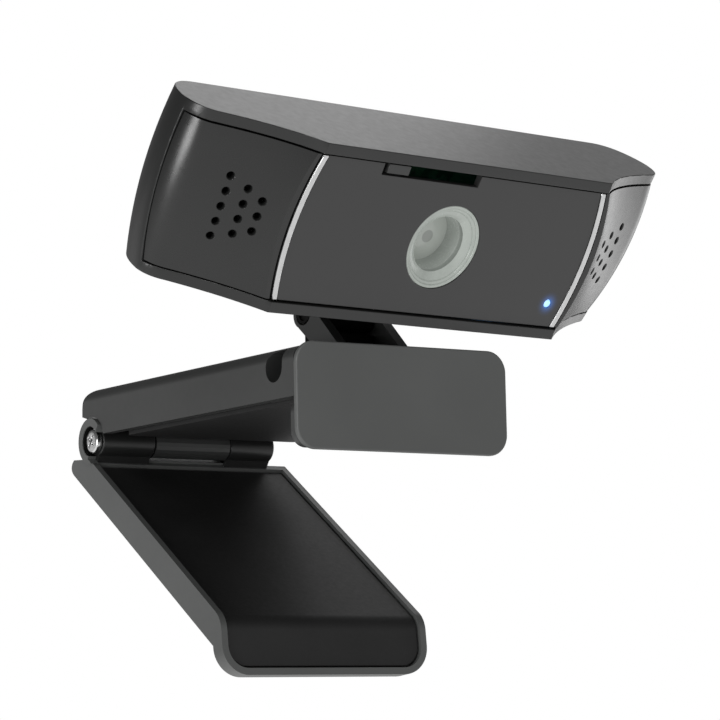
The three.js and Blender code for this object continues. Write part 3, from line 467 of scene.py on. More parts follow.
def light_material():
    g = Graph("blue_light")
    facing = g.add("ShaderNodeLayerWeight", Blend=0.35)
    glow = g.blend(facing.outputs["Facing"], (0.55, 0.8, 1.0, 1.0), (0.05, 0.3, 1.0, 1.0))
    g.link(glow, g.shader.inputs["Emission Color"])
    g.set(Base_Color=(0.2, 0.45, 1.0, 1.0), Emission_Strength=0.95, Roughness=0.2)
    return g.material


def board_material():
    g = Graph("board_green")
    tracks = g.noise(500.0, 2.0, 0.5, (1.0, 1.0, 0.2))
    shade = g.blend(g.ranged(tracks, 0.0, 1.0, 0.48, 0.52), (0.01, 0.07, 0.03, 1), (0.02, 0.13, 0.06, 1))
    g.link(shade, g.shader.inputs["Base Color"])
    g.link(g.ranged(tracks, 0.3, 0.45), g.shader.inputs["Roughness"])
    g.bump([(tracks, 0.00001)])
    return g.material


SHELL = plastic("shell_black", 26, 31, 0.34, 0.0000015)
SIDE = plastic("side_black", 26, 31, 0.28, 0.0000012)
CLIP = plastic("clip_black", 46, 51, 0.36, 0.000002)
PLATE = plastic("plate_grey", 82, 86, 0.5, 0.000004)
# painted light: the tray's black plastic is given a light grey that stands in for the bright floor it
# reflects
TRAY = plastic("tray_black_painted_lit", 77, 83, 0.36, 0.000002)
BLACK = plastic("matte_black", 6, 9, 0.7, 0.000006, specular=0.15)
PAD = rubber("pad_rubber", 17)
WINDOW = window_acrylic()
SLIDER = plastic("slider_grey", 44, 47, 0.35, 0.000003)
SILVER = metal("silver_trim", 205, 0.28, (1.0, 1.0, 0.1))
STEEL = metal("zinc_steel", 215, 0.2, (1.0, 0.2, 1.0))
BRASS = metal("insert_brass", 190, 0.3, (1.0, 1.0, 0.2), (1.0, 0.85, 0.55))
# painted light: the lens surround and hood glow faintly in their own colour (the last number)
LENS_RING = lens_plastic("lens_ring_grey", 150, 0.4)
LENS_HOOD = lens_plastic("lens_hood_grey", 134, 0.42)
# painted light and shade: the front lens glows faintly and its pupil is painted darker (124)
GLASS = lens_glass("lens_glass", 152, 0.42, 124)
INNER_GLASS = plastic("inner_lens_glass", 60, 64, 0.15, 0.000001)
LIGHT = light_material()
BOARD = board_material()


# ---- head ---------------------------------------------------------------------------------------------
def head_curves(z):
    """Corner points of the right half's plan at a height: wing, turn, end and heel, as Bezier triples."""
    lean = TAPER * (z - MIDDLE) / MIDDLE
    wing_end = (44.2 + lean, 8.0 - 0.6 * lean)
    widest = (47.2 + lean, 12.2)
    heel = (45.9 + 0.9 * lean, 16.8)
    return [
        ((FRONT_HALF, 0), (34.9, 4.9), wing_end),
        (wing_end, (47.0 + lean, 8.9 - 0.6 * lean), widest),
        (widest, (47.1 + lean, 14.6), heel),
        (heel, (44.3 + 0.8 * lean, HEAD_D), (41.6, HEAD_D)),
    ]


def head_right(z, fine=1):
    """Right half of the head's plan at a height, from the front corner to the back."""
    pts = []
    for curve, steps in zip(head_curves(z), (16, 10, 6, 10)):
        pts += bezier(*curve, steps * fine)
    return distinct(pts + [(38.0, HEAD_D)])


def normals(pts):
    out = []
    for i in range(len(pts)):
        a, b = pts[max(i - 1, 0)], pts[min(i + 1, len(pts) - 1)]
        n = Vector((b[1] - a[1], a[0] - b[0])).normalized()
        out.append(n)
    return out


def offset_points(pts, by):
    return [(p[0] + n.x * by, p[1] + n.y * by) for p, n in zip(pts, normals(pts))]


def arch(z):
    return 1 - ((z - MIDDLE) / MIDDLE) ** 2


def bowed(z, offset=0.0):
    return WINDOW_HALF + offset + BOW * (1 - ((z - MIDDLE) / (MIDDLE - STRIP)) ** 2)


def smoothstep(t):
    t = min(max(t, 0.0), 1.0)
    return t * t * (3 - 2 * t)


def head_shell():
    rows = 28
    bm = bmesh.new()
    rings = []
    for k in range(rows + 1):
        z = HEAD_H * k / rows
        right = head_right(z)
        outward = normals(right)
        full = [(-p[0], p[1]) for p in reversed(right)] + right
        full_n = [Vector((-n.x, n.y)) for n in reversed(outward)] + outward
        ring = []
        for p, n in zip(full, full_n):
            ends = smoothstep((p[1] - 7.0) / 4.0) * smoothstep((HEAD_D + 0.6 - p[1]) / 2.0)
            swell = BULGE * arch(z) * ends
            ring.append(bm.verts.new((p[0] + n.x * swell, p[1] + n.y * swell * 0.4, z)))
        rings.append(ring)
    for a, b in zip(rings, rings[1:]):
        for i in range(len(a)):
            j = (i + 1) % len(a)
            bm.faces.new((a[i], a[j], b[j], b[i]))
    bm.faces.new(list(reversed(rings[0])))
    bm.faces.new(rings[-1])
    bmesh.ops.recalc_face_normals(bm, faces=bm.faces)

    inner = offset_points(head_right(0), -1.7)
    inner = [p for p in inner if PANEL_SEAM + 0.1 < p[1] < HEAD_D - 1.85]
    seam_x = inner[0][0]
    cavity = [(70, -20), (70, PANEL_SEAM + 0.1), (seam_x, PANEL_SEAM + 0.1)] + inner
    cavity += [(inner[-1][0] - 1.0, HEAD_D - 1.8)]
    cavity = cavity + [(-x, y) for x, y in reversed(cavity)]
    hollow = prism(cavity, STRIP, HEAD_H - STRIP)
    opening = prism(rounded(-36.4, 36.4, 3.0, HEAD_H - 3.0, 1.6), HEAD_D - 3, HEAD_D + 2, "y")
    cuts = [hollow, opening]
    piece("head_shell_skin", bm, HEAD, "head", SHELL, ["head_shell"], cut=cuts, edge=0.32)


def back_cover():
    body = prism(rounded(-36.1, 36.1, 3.3, HEAD_H - 3.3, 1.4), HEAD_D - 1.7, HEAD_D - 0.1, "y")
    cuts = [rod("y", HEAD_D - 3, HEAD_D + 1, (0, 0, GLAND_Z), 2.4)]
    for sx in (-1, 1):
        for sz in (-1, 1):
            centre = (sx * COVER_SCREW_X, 0, MIDDLE + sz * COVER_SCREW_Z)
            cuts.append(rod("y", HEAD_D - 3, HEAD_D + 1, centre, 1.6))
    for k in range(-2, 3):
        slot = rounded(12 + k * 3, 13.2 + k * 3, 11, 19, 0.58, 6)
        cuts.append(prism(slot, HEAD_D - 3, HEAD_D + 1, "y"))
    piece("back_cover_skin", body, HEAD, "head", SHELL, ["back_cover"], cut=cuts, edge=0.2)

    profile = [(1.6, -2.9), (3.2, -2.9), (3.2, -1.9), (2.15, -1.9), (2.15, -0.2), (1.95, 0.05), (1.6, 0.15)]
    gland = lathe(profile, "y", (0, HEAD_D, GLAND_Z))
    piece("cable_gland_skin", gland, HEAD, "head", PAD, ["cable_gland"], edge=0.06)
    n = 0
    for sx in (-1, 1):
        for sz in (-1, 1):
            n += 1
            centre = (sx * COVER_SCREW_X, HEAD_D - 0.5, MIDDLE + sz * COVER_SCREW_Z)
            screw(f"cover_screw_{n}_skin", HEAD, "head", "y", centre, 1.3, 0.7, 0.6, 3.4, f"cover_screw_{n}")


def screw(name, place, body, axis, face, radius, thick, shank, length, node, sign=1, look=None):
    """A pan-head screw with a cross recess, whose head's face looks along the axis, or against it."""
    s = sign
    profile = [(0, 0.0), (radius * 0.55, -0.03), (radius * 0.85, -0.12), (radius, -0.32), (radius, -thick)]
    profile += [(shank, -thick), (shank, -thick - length), (0, -thick - length)]
    bm = lathe([(r, h * s) for r, h in profile], axis, face, 48)
    arm, thin, deep = radius * 0.6, radius * 0.15, 0.45 * thick
    cuts = []
    for u, v in ((arm, thin), (thin, arm)):
        lo, hi = sorted((-deep * s, 1.0 * s))
        if axis == "y":
            cuts.append(block(face[0] - u, face[0] + u, face[1] + lo, face[1] + hi, face[2] - v, face[2] + v))
        elif axis == "x":
            cuts.append(block(face[0] + lo, face[0] + hi, face[1] - u, face[1] + u, face[2] - v, face[2] + v))
        else:
            cuts.append(block(face[0] - u, face[0] + u, face[1] - v, face[1] + v, face[2] + lo, face[2] + hi))
    return piece(name, bm, place, body, look or STEEL, [node], cut=cuts, edge=0.03, steps=2)


def grille_panel(side):
    """One swept side panel with its holes; side is 1 on the right and -1 on the left."""
    z0, z1 = STRIP + STRIP_GAP, HEAD_H - STRIP - STRIP_GAP
    rows = 34

    def swell(z):
        return -0.35 + (BULGE + 0.25) * arch(z)

    outer, inner = [], []
    for k in range(rows + 1):
        z = z0 + (z1 - z0) * k / rows
        wing, turn = head_curves(z)[:2]
        pts = distinct([(28.6, -1.1), (28.95, -0.75), (29.25, -0.38)] + bezier(*wing, 48) + bezier(*turn, 24))
        outward = normals(pts)
        outer.append([(p[0] + n.x * swell(z), p[1] + n.y * swell(z), z) for p, n in zip(pts, outward)])
        inner.append([(p[0] - n.x * PANEL_THICK, p[1] - n.y * PANEL_THICK, z) for p, n in zip(pts, outward)])
    bm = grid_solid(outer, inner)
    ahead = block(0, 60, -9, WINDOW_FRONT + 0.1, -1, HEAD_H + 1)
    behind = block(0, 60, PANEL_SEAM - 0.1, 40, -1, HEAD_H + 1)
    cuts = [ahead, behind]
    cuts.append(prism(band(z0 - 1, z1 + 1, None, TRIM_WIDTH + PANEL_GAP), -5, 12, "y"))
    holes = bmesh.new()
    for t, count in GRILLE_COLUMNS:
        for k in range(count):
            z = MIDDLE + GRILLE_LIFT + (k - (count - 1) / 2) * GRILLE_PITCH
            at = bezier(*head_curves(z)[0], 100)
            i = round(t * 100)
            p, n = at[i], normals(at)[i]
            top = swell(z)
            profile = [(0, -3.0), (GRILLE_R, -3.0), (GRILLE_R, -0.22), (GRILLE_R * 1.1, -0.1)]
            profile += [(GRILLE_R * 1.34, 0.02), (GRILLE_R * 1.5, 0.5), (0, 0.5)]
            hole = lathe(profile, "z", (0, 0, top), 24)
            turn_to = Vector((n.x, n.y, 0)).to_track_quat("Z", "X").to_matrix().to_4x4()
            place = Matrix.Translation((p[0], p[1], z)) @ turn_to
            bmesh.ops.transform(hole, matrix=place, verts=hole.verts)
            mesh = bpy.data.meshes.new("hole")
            hole.to_mesh(mesh)
            hole.free()
            holes.from_mesh(mesh)
            bpy.data.meshes.remove(mesh)
    cuts.append(holes)
    if side < 0:
        bm = mirrored(bm)
        cuts = [mirrored(c) for c in cuts]
    name = "grille_panel_" + ("right" if side > 0 else "left")
    piece(name + "_skin", bm, HEAD, "head", SIDE, [name], cut=cuts, sharp=28)


def band(z0, z1, inner, outer, steps=40):
    """The figure between two lines parallel to the window's bowed side; inner None reaches the middle."""
    zs = [z0 + (z1 - z0) * k / steps for k in range(steps + 1)]
    out = [(bowed(z, outer), z) for z in zs]
    if inner is None:
        return out + [(0, z1), (0, z0)]
    return out + [(bowed(z, inner), z) for z in reversed(zs)]


def front_face():
    z0, z1 = STRIP + STRIP_GAP, HEAD_H - STRIP - STRIP_GAP
    right = band(z0, z1, None, -0.08)[:-2]
    outline = right + [(-x, z) for x, z in reversed(right)]
    window = prism(outline, WINDOW_FRONT, WINDOW_FRONT + WINDOW_THICK, "y")
    cuts = [
        rod("y", -2, 5, (LENS_X, 0, LENS_Z), LENS_R, 128),
        block(SLOT_LEFT, SLOT_RIGHT, -2, 5, z1 + STRIP_GAP - SLOT_H, z1 + 1),
        rod("y", -2, 5, (LED_X, 0, LED_Z), LED_R + 0.08, 32),
    ]
    names = ["front_window"]
    piece("front_window_skin", window, HEAD, "head", WINDOW, names, cut=cuts, edge=0.07, steps=2)
    for side, name in ((1, "right"), (-1, "left")):
        outline = [(side * x, z) for x, z in band(z0, z1, 0.0, TRIM_WIDTH)]
        trim = prism(outline, WINDOW_FRONT - 0.15, WINDOW_FRONT + WINDOW_THICK, "y")
        node = "trim_" + name
        piece(node + "_skin", trim, HEAD, "head", SILVER, [node], edge=0.16, steps=4)
    top = z1 + 0.05
    left, right, back = KNOB_X - KNOB_W / 2, KNOB_X + KNOB_W / 2, SHUTTER_FRONT + SHUTTER_THICK
    knob = block(left, right, 0.25, SHUTTER_FRONT + 0.2, top - KNOB_H, top)
    tab = block(left, right, SHUTTER_FRONT, back, SHUTTER_TOP - 1, top)
    blade_left, blade_right = KNOB_X - SHUTTER_HALF, KNOB_X + SHUTTER_HALF
    blade = block(blade_left, blade_right, SHUTTER_FRONT, back, SHUTTER_BOTTOM, SHUTTER_TOP)
    names, adds = ["privacy_shutter"], [tab, blade]
    piece("privacy_shutter_skin", knob, HEAD, "shutter", SLIDER, names, add=adds, edge=0.1)


def optics():
    """A stepped surround in the window, then the hood's bore and the domed front lens at its bottom."""
    centre = (LENS_X, 0, LENS_Z)
    front, back = WINDOW_FRONT + FIT, WINDOW_FRONT + FIT + 1.2
    outer = LENS_R - 0.08
    ring = [(outer, back), (outer, front + 0.04), (outer - 0.05, front), (6.5, front + 0.04)]
    ring += [(6.46, front + 0.1), (6.44, front + 0.28), (6.38, front + 0.3), (6.34, front + 0.24)]
    ring += [(6.0, front + 0.3)]
    ring += [(5.96, front + 0.36), (5.94, front + 0.56), (5.88, front + 0.58), (5.84, front + 0.52)]
    ring += [(5.4, front + 0.68), (5.0, front + 0.92), (4.72, front + 1.12), (4.62, back)]
    bm = lathe(ring, "y", centre, 160)
    piece("lens_ring_skin", bm, HEAD, "head", LENS_RING, ["lens_ring"], sharp=24)
    hood = [(HOOD_R, HOOD_BACK), (HOOD_R, HOOD_FRONT), (4.65, HOOD_FRONT), (4.52, HOOD_FRONT + 0.06)]
    hood += [(HOOD_BORE, HOOD_FRONT + 0.2), (HOOD_BORE, HOOD_BACK)]
    piece("lens_hood_skin", lathe(hood, "y", centre, 128), HEAD, "head", LENS_HOOD, ["lens_hood"])
    steps, sweep = 16, math.asin(DOME_HALF / DOME_R)
    angles = [sweep * k / steps for k in range(steps + 1)]
    dome = [(DOME_R * math.sin(a), DOME_APEX + DOME_R * (1 - math.cos(a))) for a in angles]
    dome += [(DOME_HALF, DOME_BACK), (0, DOME_BACK)]
    piece("front_lens_skin", lathe(dome, "y", centre, 96), HEAD, "head", GLASS, ["front_lens"])


def light():
    tip = [(0, -0.02), (0.3, 0.0), (0.55, 0.08), (0.69, 0.25), (0.69, 11.7), (0, 11.7)]
    bm = lathe(tip, "y", (LED_X, WINDOW_FRONT, LED_Z), 32)
    piece("light_pipe_skin", bm, HEAD, "head", LIGHT, ["light_pipe"])


# ---- neck ---------------------------------------------------------------------------------------------
def neck():
    deck = ARM_TOP + FIT - JOINTS["head_tilt"]["pos_m"][2] / MM
    top = deck + DISC_THICK
    disc = lathe([(1.5, deck), (DISC_R, deck), (DISC_R, top), (1.5, top)], "z", (0, 0, 0), 96)
    cheek = [(-8.0, top - 0.4), (-3.2, top - 0.4), (1.4, -1.75)]
    cheek += arc(0, 0, CHEEK_EYE, CHEEK_EYE, -52, 128, 28) + [(-8.0, top + 0.2)]
    cheeks = [prism(cheek, CHEEK_INNER, CHEEK_OUTER, "x"), prism(cheek, -CHEEK_OUTER, -CHEEK_INNER, "x")]
    hole = rod("x", -20, 20, (0, 0, 0), AXLE_R + 0.15, 32)
    nut_room = rod("x", -20, -CHEEK_OUTER + 0.9, (0, 0, 0), 1.7, 32)
    cuts = [hole, nut_room]
    names = ["neck_yoke"]
    piece("neck_yoke_skin", disc, NECK, "neck", CLIP, names, add=cheeks, cut=cuts, edge=0.22)
    core = block(-CHEEK_INNER + CLEAR, CHEEK_INNER - CLEAR, -2.4, 2.4, top + FIT, -LUG_R - 0.25)
    room = rod("z", deck - 1, 0, (0, 0, 0), 2.2)
    piece("neck_core_skin", core, NECK, "neck", BLACK, ["neck_core"], cut=[room], edge=0.2)
    face = (CHEEK_OUTER + 0.9, 0, 0)
    length = 2 * CHEEK_OUTER - 0.2
    screw("tilt_screw_skin", NECK, "neck", "x", face, 1.6, 0.8, AXLE_R, length, "tilt_screw", look=BLACK)


def tilt_lug():
    y, z = LUG_Y, LUG_Z
    outline = [(y + LUG_R + 0.3, -FIT), (y - 6.5, -FIT), (y - 6.5, -1.2), (y - LUG_R, z + 1.6)]
    outline += arc(y, z, LUG_R, LUG_R, 180, 360, 36) + [(y + LUG_R, z + 1.6)]
    body = prism(outline, -LUG_HALF, LUG_HALF, "x")
    hole = rod("x", -20, 20, (0, y, z), AXLE_R + 0.15, 32)
    piece("tilt_lug_skin", body, HEAD, "head", BLACK, ["tilt_lug"], cut=[hole], edge=0.25)


# ---- upper arm ----------------------------------------------------------------------------------------
def upper_arm():
    hy, hz = (JOINTS["clip_fold"]["pos_m"][i] / MM for i in (1, 2))
    side = [(ARM_FRONT, ARM_BOTTOM), (hy - 1.3, ARM_BOTTOM)]
    side += [(hy + 1.6, hz + EAR_R + FIT), (ARM_REAR, hz + EAR_R + 0.5)]
    side += bezier((ARM_REAR, ARM_TOP - 3.6), (ARM_REAR, ARM_TOP), (ARM_REAR - 3.8, ARM_TOP), 14)
    side += [(ARM_FRONT, ARM_TOP)]
    body = prism(side, -ARM_HALF, ARM_HALF, "x")
    r = ARM_EDGE_R
    section = [(-ARM_HALF, -6), (ARM_HALF, -6)] + arc(ARM_HALF - r, ARM_TOP - r, r, r, 0, 90, 12)
    section += arc(-ARM_HALF + r, ARM_TOP - r, r, r, 90, 180, 12)
    rounding = prism(section, ARM_FRONT - 1, ARM_REAR + 1, "y")
    inner = ARM_HALF - ARM_WALL
    pad = (-inner + 0.6, inner - 0.6, ARM_FRONT + 2.5, hy - 6.7)
    pan = Vector(JOINTS["head_pan"]["pos_m"]) / MM
    hole = arc(SIDE_HOLE_Y, SIDE_HOLE_Z, SIDE_HOLE_R, SIDE_HOLE_R, 180, 450, 40)
    hole += [(SIDE_HOLE_Y - SIDE_HOLE_TIP, SIDE_HOLE_Z + SIDE_HOLE_TIP)]
    cuts = [
        block(-inner, inner, hy - 7, hy + 3.5, -5, hz + EAR_R + 0.6),
        rod("x", -ARM_HALF - 1, ARM_HALF + 1, (0, hy, hz), EAR_R + CLEAR, 72),
        prism(rounded(*pad, 1.6), -1, 0.9),
        block(-inner, inner, ARM_FRONT + 9.5, hy - 6, -1, ARM_TOP - 1.6),
        prism(hole, -ARM_HALF - 1, -ARM_HALF + SIDE_HOLE_DEPTH, "x"),
        rod("z", 0, ARM_TOP + 1, (pan.x, pan.y, 0), ARM_PAN_HOLE_R, 48),
    ]
    names, both = ["upper_arm_shell"], [rounding]
    piece("upper_arm_skin", body, ARM, "upper_arm", CLIP, names, both=both, cut=cuts, edge=0.25)


def front_plate():
    outline = rounded(-PLATE_HALF, PLATE_HALF, PLATE_BOTTOM, PLATE_TOP, PLATE_CORNER, 20)
    seam = PLATE_FRONT + PLATE_THICK
    body = prism(outline, PLATE_FRONT, seam, "y")
    names = ["clip_front_plate"]
    piece("clip_front_plate_skin", body, ARM, "upper_arm", PLATE, names, edge=0.28, steps=4)
    side = PLATE_HALF - 0.4
    back = rounded(-side, side, PLATE_BOTTOM + 0.4, ARM_BOTTOM - FIT, 2.4, 16)
    body = prism(back, seam + FIT, BACK_PLATE_REAR, "y")
    piece("clip_back_plate_skin", body, ARM, "upper_arm", CLIP, ["clip_back_plate"], edge=0.2)
    lip = rounded(-side + 2, side - 2, PLATE_BOTTOM + 1.2, ARM_BOTTOM - 0.7, 1.4)
    body = prism(lip, BACK_PLATE_REAR + FIT, BACK_PLATE_REAR + FIT + 0.8, "y")
    piece("lip_pad_skin", body, ARM, "upper_arm", PAD, ["lip_grip_pad"], edge=0.2)


# ---- lower arm ----------------------------------------------------------------------------------------
def bent_end(depth, short):
    """Centre of the bend, the two directions of the straight end past it, and that end's tip at a depth."""
    along = Vector((-math.cos(BEND_ANGLE), -math.sin(BEND_ANGLE)))
    inward = Vector((math.sin(BEND_ANGLE), -math.cos(BEND_ANGLE)))
    centre = Vector((-BEND_AT, TRAY_TOP - BEND_R))
    tip = centre - inward * (BEND_R - depth) + along * (BEND_LENGTH - short)
    return centre, along, inward, tip


def tray_side(depth, short, bottom, steps=20):
    centre, along, inward, tip = bent_end(depth, short)
    heel = tip + inward * (BEND_THICK - depth)
    root = heel - along * ((bottom - heel.y) / math.sin(BEND_ANGLE))
    top = TRAY_TOP - depth
    pts = bezier((REAR_LOW, bottom), (REAR_CORNER[0], TRAY_BOTTOM), REAR_CORNER, 10)
    pts += [REAR_EDGE, (REAR_HIGH, top)]
    r = BEND_R - depth
    pts += arc(centre.x, centre.y, r, r, 90, 90 + math.degrees(BEND_ANGLE), steps)
    return pts + [tuple(tip), tuple(heel), tuple(root)]


def tray_outline(half, short, corner, rear):
    """Everything between the side lines; the bent end's lower corners are rounded in its own plane."""
    tip = bent_end(0, short)[3]
    bm = prism(rounded(-half, half, 0, 90, corner, 16), -70, 70)
    place = Matrix.Translation((0, tip.x, tip.y)) @ Matrix.Rotation(BEND_ANGLE, 4, "X")
    bmesh.ops.transform(bm, matrix=place, verts=bm.verts)
    obj = as_object("outline", bm)
    combine(obj, [block(-half - 1, half + 1, -90, rear, -30, 10)], "INTERSECT")
    return obj


def taken(obj):
    """The object's mesh as a bmesh; the object itself is removed."""
    bm = bmesh.new()
    bm.from_mesh(obj.data)
    bpy.data.objects.remove(obj)
    return bm


def tray():
    whole = prism(tray_side(0, 0, TRAY_BOTTOM), -TRAY_HALF - 1, TRAY_HALF + 1, "x")
    obj = as_object("lower_arm_tray_skin", whole)
    combine(obj, [taken(tray_outline(TRAY_HALF, 0, TIP_CORNER, 7))], "INTERSECT")
    recess = tray_outline(TRAY_HALF - TRAY_WALL, TRAY_WALL, TIP_CORNER - TRAY_WALL, RECESS_REAR)
    combine(recess, [prism(tray_side(TRAY_DEEP, -9, FAR_BELOW), -31, 31, "x")], "DIFFERENCE")
    ear_floor = HINGE_LEFT + EAR_BORE_DEEP + 0.04
    adds = [
        rod("x", HINGE_LEFT, HINGE_LEFT + EAR_WIDTH, (0, 0, 0), EAR_R, 72),
        block(KNUCKLE_FROM - 1, KNUCKLE_TO + 1, WEB_FRONT, WEB_REAR, TRAY_TOP - FOOT_DEEP, WEB_TOP),
    ]
    cuts = [
        rod("x", -30, 30, (0, 0, 0), PIN_HOLE_R, 32),
        rod("x", KNUCKLE_FROM - CLEAR, KNUCKLE_TO + CLEAR, (0, 0, 0), BARREL_R + 0.4, 64),
        rod("x", HINGE_LEFT - 1, ear_floor, (0, 0, 0), EAR_BORE_R, 64),
        block(HINGE_LEFT - 1, ear_floor, -EAR_R - 1, EAR_OPEN, TRAY_TOP + 0.2, EAR_R + 1),
        rod("z", -14, 0, (0, -INSERT_AT, 0), 4.3, 48),
    ]
    combine(obj, [taken(recess)], "DIFFERENCE")
    combine(obj, adds, "UNION")
    combine(obj, cuts, "DIFFERENCE")
    obj.data.transform(LOWER)
    # the tray's light grey is painted light on black plastic
    finish_piece(obj, TRAY, "lower_arm", ["lower_arm_tray"], 0.25, 3, 32)


def hinge_barrels():
    """The two fixed knuckles on the tray, each with a foot that joins it to the tray's end."""
    names = ["lower_arm_tray"]
    spans = (HINGE_LEFT + EAR_BORE_DEEP, KNUCKLE_FROM - CLEAR), (KNUCKLE_TO + CLEAR, HINGE_RIGHT)
    for side, (lo, hi) in zip(("left", "right"), spans):
        ring = [(PIN_HOLE_R, lo), (BARREL_R, lo), (BARREL_R, hi)]
        if side == "right":
            ring += [(NUT_BORE_R, hi), (NUT_BORE_R, hi - NUT_SEAT), (PIN_HOLE_R, hi - NUT_SEAT)]
        else:
            ring.append((PIN_HOLE_R, hi))
        barrel = lathe(ring, "x", (0, 0, 0), 64)
        piece(f"barrel_{side}_skin", barrel, LOWER, "lower_arm", SHELL, names, edge=0.2)
        foot = block(lo, hi, FOOT_FRONT, FOOT_REAR, TRAY_TOP - FOOT_DEEP, FOOT_TOP)
        room = [rod("x", -30, 30, (0, 0, 0), BARREL_R - 0.15, 64)]
        piece(f"foot_{side}_skin", foot, LOWER, "lower_arm", SHELL, names, cut=room)


def tray_pad():
    """The pad fills the tray's recess and follows the bent end a little below the rim."""
    pad = as_object("lower_pad_skin", prism(tray_side(TRAY_RIM, -9, FAR_BELOW), -31, 31, "x"))
    combine(pad, [prism(tray_side(TRAY_DEEP - FIT, -9, FAR_BELOW), -32, 32, "x")], "DIFFERENCE")
    edge = TRAY_WALL + CLEAR
    outline = tray_outline(TRAY_HALF - edge, edge, TIP_CORNER - edge, RECESS_REAR - CLEAR)
    combine(pad, [taken(outline)], "INTERSECT")
    pad.data.transform(LOWER)
    finish_piece(pad, PAD, "lower_arm", ["lower_grip_pad"], 0.2, 3, 32)


def tray_underside():
    """The skid plate and the tripod insert, whose bore shows four turns of thread."""
    half, top = TRAY_HALF - 1.2, TRAY_BOTTOM - FIT
    skid = prism(rounded(-half, half, -SKID_END, 1.6, 2), top - SKID_THICK, top)
    names, hole = ["skid_plate"], [rod("z", -14, 0, (0, -INSERT_AT, 0), 4.6, 64)]
    piece("skid_plate_skin", skid, LOWER, "lower_arm", PLATE, names, cut=hole, edge=0.12)

    z0, z1 = TRAY_BOTTOM - 0.2, TRAY_TOP - TRAY_DEEP - CLEAR
    thread = [(4.1, z0 + 0.2), (3.9, z0), (3.45, z0)]
    turns = 4
    for k in range(turns):
        z = z0 + 0.15 + (z1 - z0 - 0.3) * k / turns
        thread += [(3.12, z + 0.1), (3.4, z + 0.3)]
    thread += [(3.12, z1), (4.1, z1)]
    bm = lathe(thread, "z", (0, -INSERT_AT, 0), 64)
    piece("tripod_insert_skin", bm, LOWER, "lower_arm", BRASS, ["tripod_insert"])


def hinge_pin():
    """Painted shade in the ear's bore, a thin black sleeve for its shadowed inner wall, and the screw that
    the arms turn on.
    """
    floor = HINGE_LEFT + EAR_BORE_DEEP
    # painted shade: a black sleeve where the bore is only in shadow
    bore_shade = rod("x", HINGE_LEFT + 0.15, floor - 0.05, (0, 0, 0), EAR_BORE_R - 0.02, 64)
    inner = rod("x", HINGE_LEFT - 1, floor + 1, (0, 0, 0), EAR_BORE_R - 0.08, 64)
    front = block(HINGE_LEFT - 1, floor + 1, -4, EAR_OPEN + 0.1, -4, 4)
    names = ["lower_arm_tray"]
    piece("ear_bore_shade_skin", bore_shade, LOWER, "lower_arm", BLACK, names, cut=[inner, front])
    face = (HINGE_LEFT + SCREW_SUNK, 0, 0)
    length = HINGE_RIGHT - 0.2 - face[0] - SCREW_THICK
    sizes = SCREW_R, SCREW_THICK, PIN_R, length
    screw("hinge_screw_skin", LOWER, "lower_arm", "x", face, *sizes, "hinge_screw", sign=-1)


# ---- carried-over CAD nodes ---------------------------------------------------------------------------
def dress_nodes():
    """Gives every CAD node that stays a material of its kind and softened edges."""
    looks = {
        "steel": STEEL,
        "rubber": PAD,
        "matte_black": BLACK,
        "plate_black": PLATE,
        "window_grey": SLIDER,
        "silver_trim": SILVER,
        "lens_grey": LENS_HOOD,
        "lens_glass": INNER_GLASS,
        "circuit_board": BOARD,
        "status_light": LIGHT,
        "insert_brass": BRASS,
        "satin_black": CLIP,
    }
    slots = {s["node"]: s["material_slot"] for s in frame["record"]["subparts"]}
    moulded = dict.fromkeys(("hinge_nut", "hinge_washer_left", "hinge_washer_right"), BLACK)
    moulded["upper_arm_base"] = CLIP
    for name, node in frame["nodes"].items():
        node.data.materials.clear()
        node.data.materials.append(moulded.get(name, looks[slots[name]]))
        edge = node.modifiers.new("edge", "BEVEL")
        edge.width, edge.segments, edge.limit_method = 0.1 * MM, 2, "ANGLE"
        edge.angle_limit = math.radians(35)
        shade = node.modifiers.new("shade", "WEIGHTED_NORMAL")
        shade.keep_sharp = True


# ---- stage --------------------------------------------------------------------------------------------
CAMERA_PLACE, CAMERA_LENS = (-0.27977, -0.44531, -0.05431), 163.24
CAMERA_AZIMUTH, CAMERA_ELEVATION, CAMERA_ROLL = 33.396, 7.006, -1.281


def heading(azimuth, elevation):
    """Unit vector; azimuth in degrees from +Y towards +X, elevation above the horizon."""
    a, e = math.radians(azimuth), math.radians(elevation)
    return Vector((math.sin(a) * math.cos(e), math.cos(a) * math.cos(e), math.sin(e)))


def camera():
    """A long lens from the front left, a little below the object and looking up at it."""
    azimuth, roll = math.radians(CAMERA_AZIMUTH), math.radians(CAMERA_ROLL)
    ahead = heading(CAMERA_AZIMUTH, CAMERA_ELEVATION)
    right = Vector((math.cos(azimuth), -math.sin(azimuth), 0))
    up = right.cross(ahead)
    tilted_right = right * math.cos(roll) + up * math.sin(roll)
    tilted_up = up * math.cos(roll) - right * math.sin(roll)
    rotation = Matrix((tilted_right, tilted_up, -ahead)).transposed()
    data = bpy.data.cameras.new("camera")
    data.sensor_width = 36
    data.lens = CAMERA_LENS
    cam = bpy.data.objects.new("camera", data)
    cam.matrix_world = Matrix.Translation(CAMERA_PLACE) @ rotation.to_4x4()
    bpy.context.scene.collection.objects.link(cam)
    bpy.context.scene.camera = cam


def softbox(name, azimuth, elevation, distance, size, radiance, aim=(0, -0.02, 0.01), colour=(1, 1, 1)):
    """An area light in a direction from its aim, facing it; sizes and distance in metres."""
    data = bpy.data.lights.new(name, "AREA")
    data.shape, data.size, data.size_y = "RECTANGLE", size[0], size[1]
    data.energy, data.color = radiance * math.pi * size[0] * size[1], colour
    lamp = bpy.data.objects.new(name, data)
    direction = heading(azimuth, elevation)
    lamp.location = Vector(aim) + direction * distance
    lamp.rotation_mode = "QUATERNION"
    lamp.rotation_quaternion = (-direction).to_track_quat("-Z", "Y")
    bpy.context.scene.collection.objects.link(lamp)


